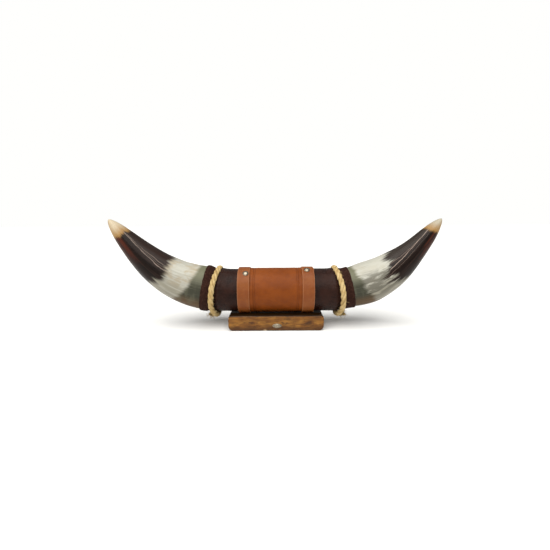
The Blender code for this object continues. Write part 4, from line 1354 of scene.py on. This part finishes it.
def make_block():
    half = BLOCK_HIGH.x
    falls = [radius * (1 - np.cos(np.linspace(0, math.pi / 2, steps)))
             for radius, steps in ((BLOCK_LOWER_CORNER, 16), (BLOCK_EDGE, 8))]
    near_end = half - np.unique(np.concatenate(falls).round(6))
    middle = np.linspace(-half + BLOCK_LOWER_CORNER, half - BLOCK_LOWER_CORNER, 130)[1:-1]
    xs = np.concatenate([-near_end, middle, near_end[::-1]])
    rings = np.stack([block_section(x) for x in xs])
    heart = np.array([[0.0, (BLOCK_HIGH.z + BLOCK_LOWER_CORNER - BLOCK_UPPER_CORNER) / 2]])
    caps = []
    for ring in (rings[0], rings[-1]):
        caps.append([np.concatenate([ring[:, :1], heart + (ring[:, 1:] - heart) * share], axis=1)
                     for share in (0.25, 0.5, 0.75, 0.9)])
    rings = np.concatenate([np.stack(caps[0]), rings, np.stack(caps[1][::-1])])
    waver = np.stack([rough_field(rings + shift, 42.0) for shift in (0.0, 0.31, 0.67)], axis=-1)
    waver *= BLOCK_WAVER
    waver[..., 2] *= eased((rings[..., 2] - 0.0004) / 0.002)
    inset = np.sort(np.stack([half - np.abs(rings[..., 0]), BLOCK_HIGH.y - np.abs(rings[..., 1]),
                              rings[..., 2], BLOCK_HIGH.z - rings[..., 2]]), axis=0)[1]
    chip_middle = np.array([CHIP[0], BLOCK_LOW.y, CHIP[1]])
    to_chip = rings - chip_middle
    to_chip[..., 0] /= CHIP_STRETCH
    chipped = np.exp(-((np.linalg.norm(to_chip, axis=-1) / CHIP_SIZE) ** 2))
    rings = rings + waver + chipped[..., None] * np.array(CHIP_DEPTH)
    laid = {"edge": np.exp(-np.maximum(inset, 0) / EDGE_SHADE_WIDTH), "chipped": chipped}
    made = skin(
        "foot_block", rings, varnish_finish(), first=rings[0].mean(axis=0), last=rings[-1].mean(axis=0),
        laid=laid, crease=math.radians(35))
    wide, narrow = SCREW_HEAD_RADIUS + SCREW_CLEARANCE, SCREW_RADIUS + SCREW_CLEARANCE
    slope, proud = SCREW_HEAD_RADIUS - SCREW_RADIUS, 0.002
    bore = [(0.0, -SCREW_HEAD_Z - proud), (wide, -SCREW_HEAD_Z - proud), (wide, SCREW_HEAD_HEIGHT - slope),
            (narrow, SCREW_HEAD_HEIGHT + GAP), (narrow, BLOCK_HIGH.z), (0.0, BLOCK_HIGH.z)]
    cutters = []
    for side in (-1, 1):
        place = (side * SCREW_X, 0, SCREW_HEAD_Z)
        cutter = turned(f"screw_bore_{side}", bore, made.data.materials[0], place, (0, 0, 1))
        cut = made.modifiers.new(cutter.name, "BOOLEAN")
        cut.operation, cut.object, cut.solver = "DIFFERENCE", cutter, "EXACT"
        cutters.append(cutter)
    bpy.context.view_layer.update()
    bored = bpy.data.meshes.new_from_object(made.evaluated_get(bpy.context.evaluated_depsgraph_get()))
    made.modifiers.clear()
    made.data = bored
    for cutter in cutters:
        bpy.data.objects.remove(cutter)
    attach(made, "root")
    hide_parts("block")


make_block()


# --------------------------------------------------------------------------------------------------
# The tack
# An oval domed upholstery tack with pointed ends, nickel-plated, driven into the block's front.

TACK_PLACE = (0.0014, 0.0084)
TACK_HALF_LENGTH = 0.0072
TACK_HALF_HEIGHT = 0.0034
TACK_DOME = 0.0016
TACK_RIM = 0.0003
TACK_SHANK_RADIUS = 0.0009
TACK_SHANK_LENGTH = 0.008
TACK_SIDES = 72


def make_tack():
    turns = full_turn(TACK_SIDES)
    outline = np.stack([TACK_HALF_LENGTH * np.cos(turns),
                        TACK_HALF_HEIGHT * np.sin(turns) * np.abs(np.sin(turns)) ** 0.3], axis=-1)
    shank = TACK_SHANK_RADIUS * np.stack([np.cos(turns), np.sin(turns)], axis=-1)
    rows = [(shank * 0.3, -TACK_SHANK_LENGTH + 0.0003), (shank, -TACK_SHANK_LENGTH + 0.002)]
    rows += [(shank, TACK_RIM * 0.2)]
    rows += [(outline * (1 - TACK_RIM / TACK_HALF_LENGTH), 0.0)]
    rows += [(outline, TACK_RIM * height) for height in (0.35, 0.85)]
    rolled = ((1, 1.25), (2, 1.15), (2.6, 1.05))
    rows += [(outline * (1 - 0.05 * step), TACK_RIM * lift) for step, lift in rolled]
    rows += [(outline * 0.86 * math.cos(a), TACK_RIM + (TACK_DOME - TACK_RIM) * math.sin(a))
             for a in np.linspace(0.12, math.pi / 2 - 0.08, 10)]
    front = BLOCK_LOW.y
    across, up = TACK_PLACE
    rings = np.stack([
        np.stack([across + flat[:, 0], np.full(TACK_SIDES, front - height), up + flat[:, 1]], axis=-1)
        for flat, height in rows])
    ends = [(across, front - height, up) for height in (-TACK_SHANK_LENGTH, TACK_DOME)]
    made = skin("oval_tack", rings, nickel, first=ends[0], last=ends[1])
    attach(made, "root")
    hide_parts("tack")


make_tack()


# --------------------------------------------------------------------------------------------------
# The screws
# Two countersunk cross-head wood screws go up through the block and the leather into the core, their heads
# let in.

THREAD_PITCH = 0.0018
THREAD_HEIGHT = 0.00045
PLAIN_SHANK = 0.004  # under the head
RECESS_HALF_WIDTH = 0.00045
RECESS_REACH = 0.0024
RECESS_DEPTH = 0.0014


def make_screw(name, steel):
    side, turns = HORNS[name]["side"], full_turn(96)
    face = np.linspace(0.02, 1, 26) * SCREW_HEAD_RADIUS
    across, deep = face[:, None] * np.cos(turns), face[:, None] * np.sin(turns)
    slot_off = np.minimum(np.abs(across), np.abs(deep))
    recess = RECESS_DEPTH * eased((RECESS_HALF_WIDTH * 1.25 - slot_off) / (RECESS_HALF_WIDTH * 0.5))
    recess = recess * eased((RECESS_REACH - face[:, None]) / 0.0006)
    slope = SCREW_HEAD_RADIUS - SCREW_RADIUS
    heights = np.concatenate([[SCREW_HEAD_HEIGHT - slope, SCREW_HEAD_HEIGHT],
                              np.arange(SCREW_HEAD_HEIGHT + 0.002, SCREW_LENGTH - 0.0002, THREAD_PITCH / 8)])
    taper = np.clip((SCREW_LENGTH - heights) / (3 * SCREW_RADIUS), 0.03, 1.0)
    phase = (heights[:, None] / THREAD_PITCH - turns[None] / (2 * math.pi)) % 1.0
    threaded = (heights > SCREW_HEAD_HEIGHT + PLAIN_SHANK)[:, None]
    ridge = THREAD_HEIGHT * np.maximum(0, 1 - np.abs(phase - 0.5) * 4) * threaded
    shank = (SCREW_RADIUS - THREAD_HEIGHT) * taper[:, None] + ridge * taper[:, None]
    shank[0], shank[1] = SCREW_HEAD_RADIUS, SCREW_RADIUS
    up = np.concatenate([recess, np.broadcast_to(heights[:, None], shank.shape)])
    radii = np.concatenate([np.broadcast_to(face[:, None], recess.shape), shank])
    across, back = side * SCREW_X + radii * np.cos(turns), radii * np.sin(turns)
    rings = np.stack([across, back, SCREW_HEAD_Z + up], axis=-1)
    ends = [(side * SCREW_X, 0, SCREW_HEAD_Z + height) for height in (recess[0].mean(), SCREW_LENGTH)]
    made = skin(f"wood_screw_{name}", rings, steel, first=ends[0], last=ends[1], crease=math.radians(30))
    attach(made, "root")
    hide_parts(f"screw_{name}")


plain_steel = plate_finish("plain_steel", "b9b9ba", "84807a", 0.34)
for side_name in HORNS:
    make_screw(side_name, plain_steel)
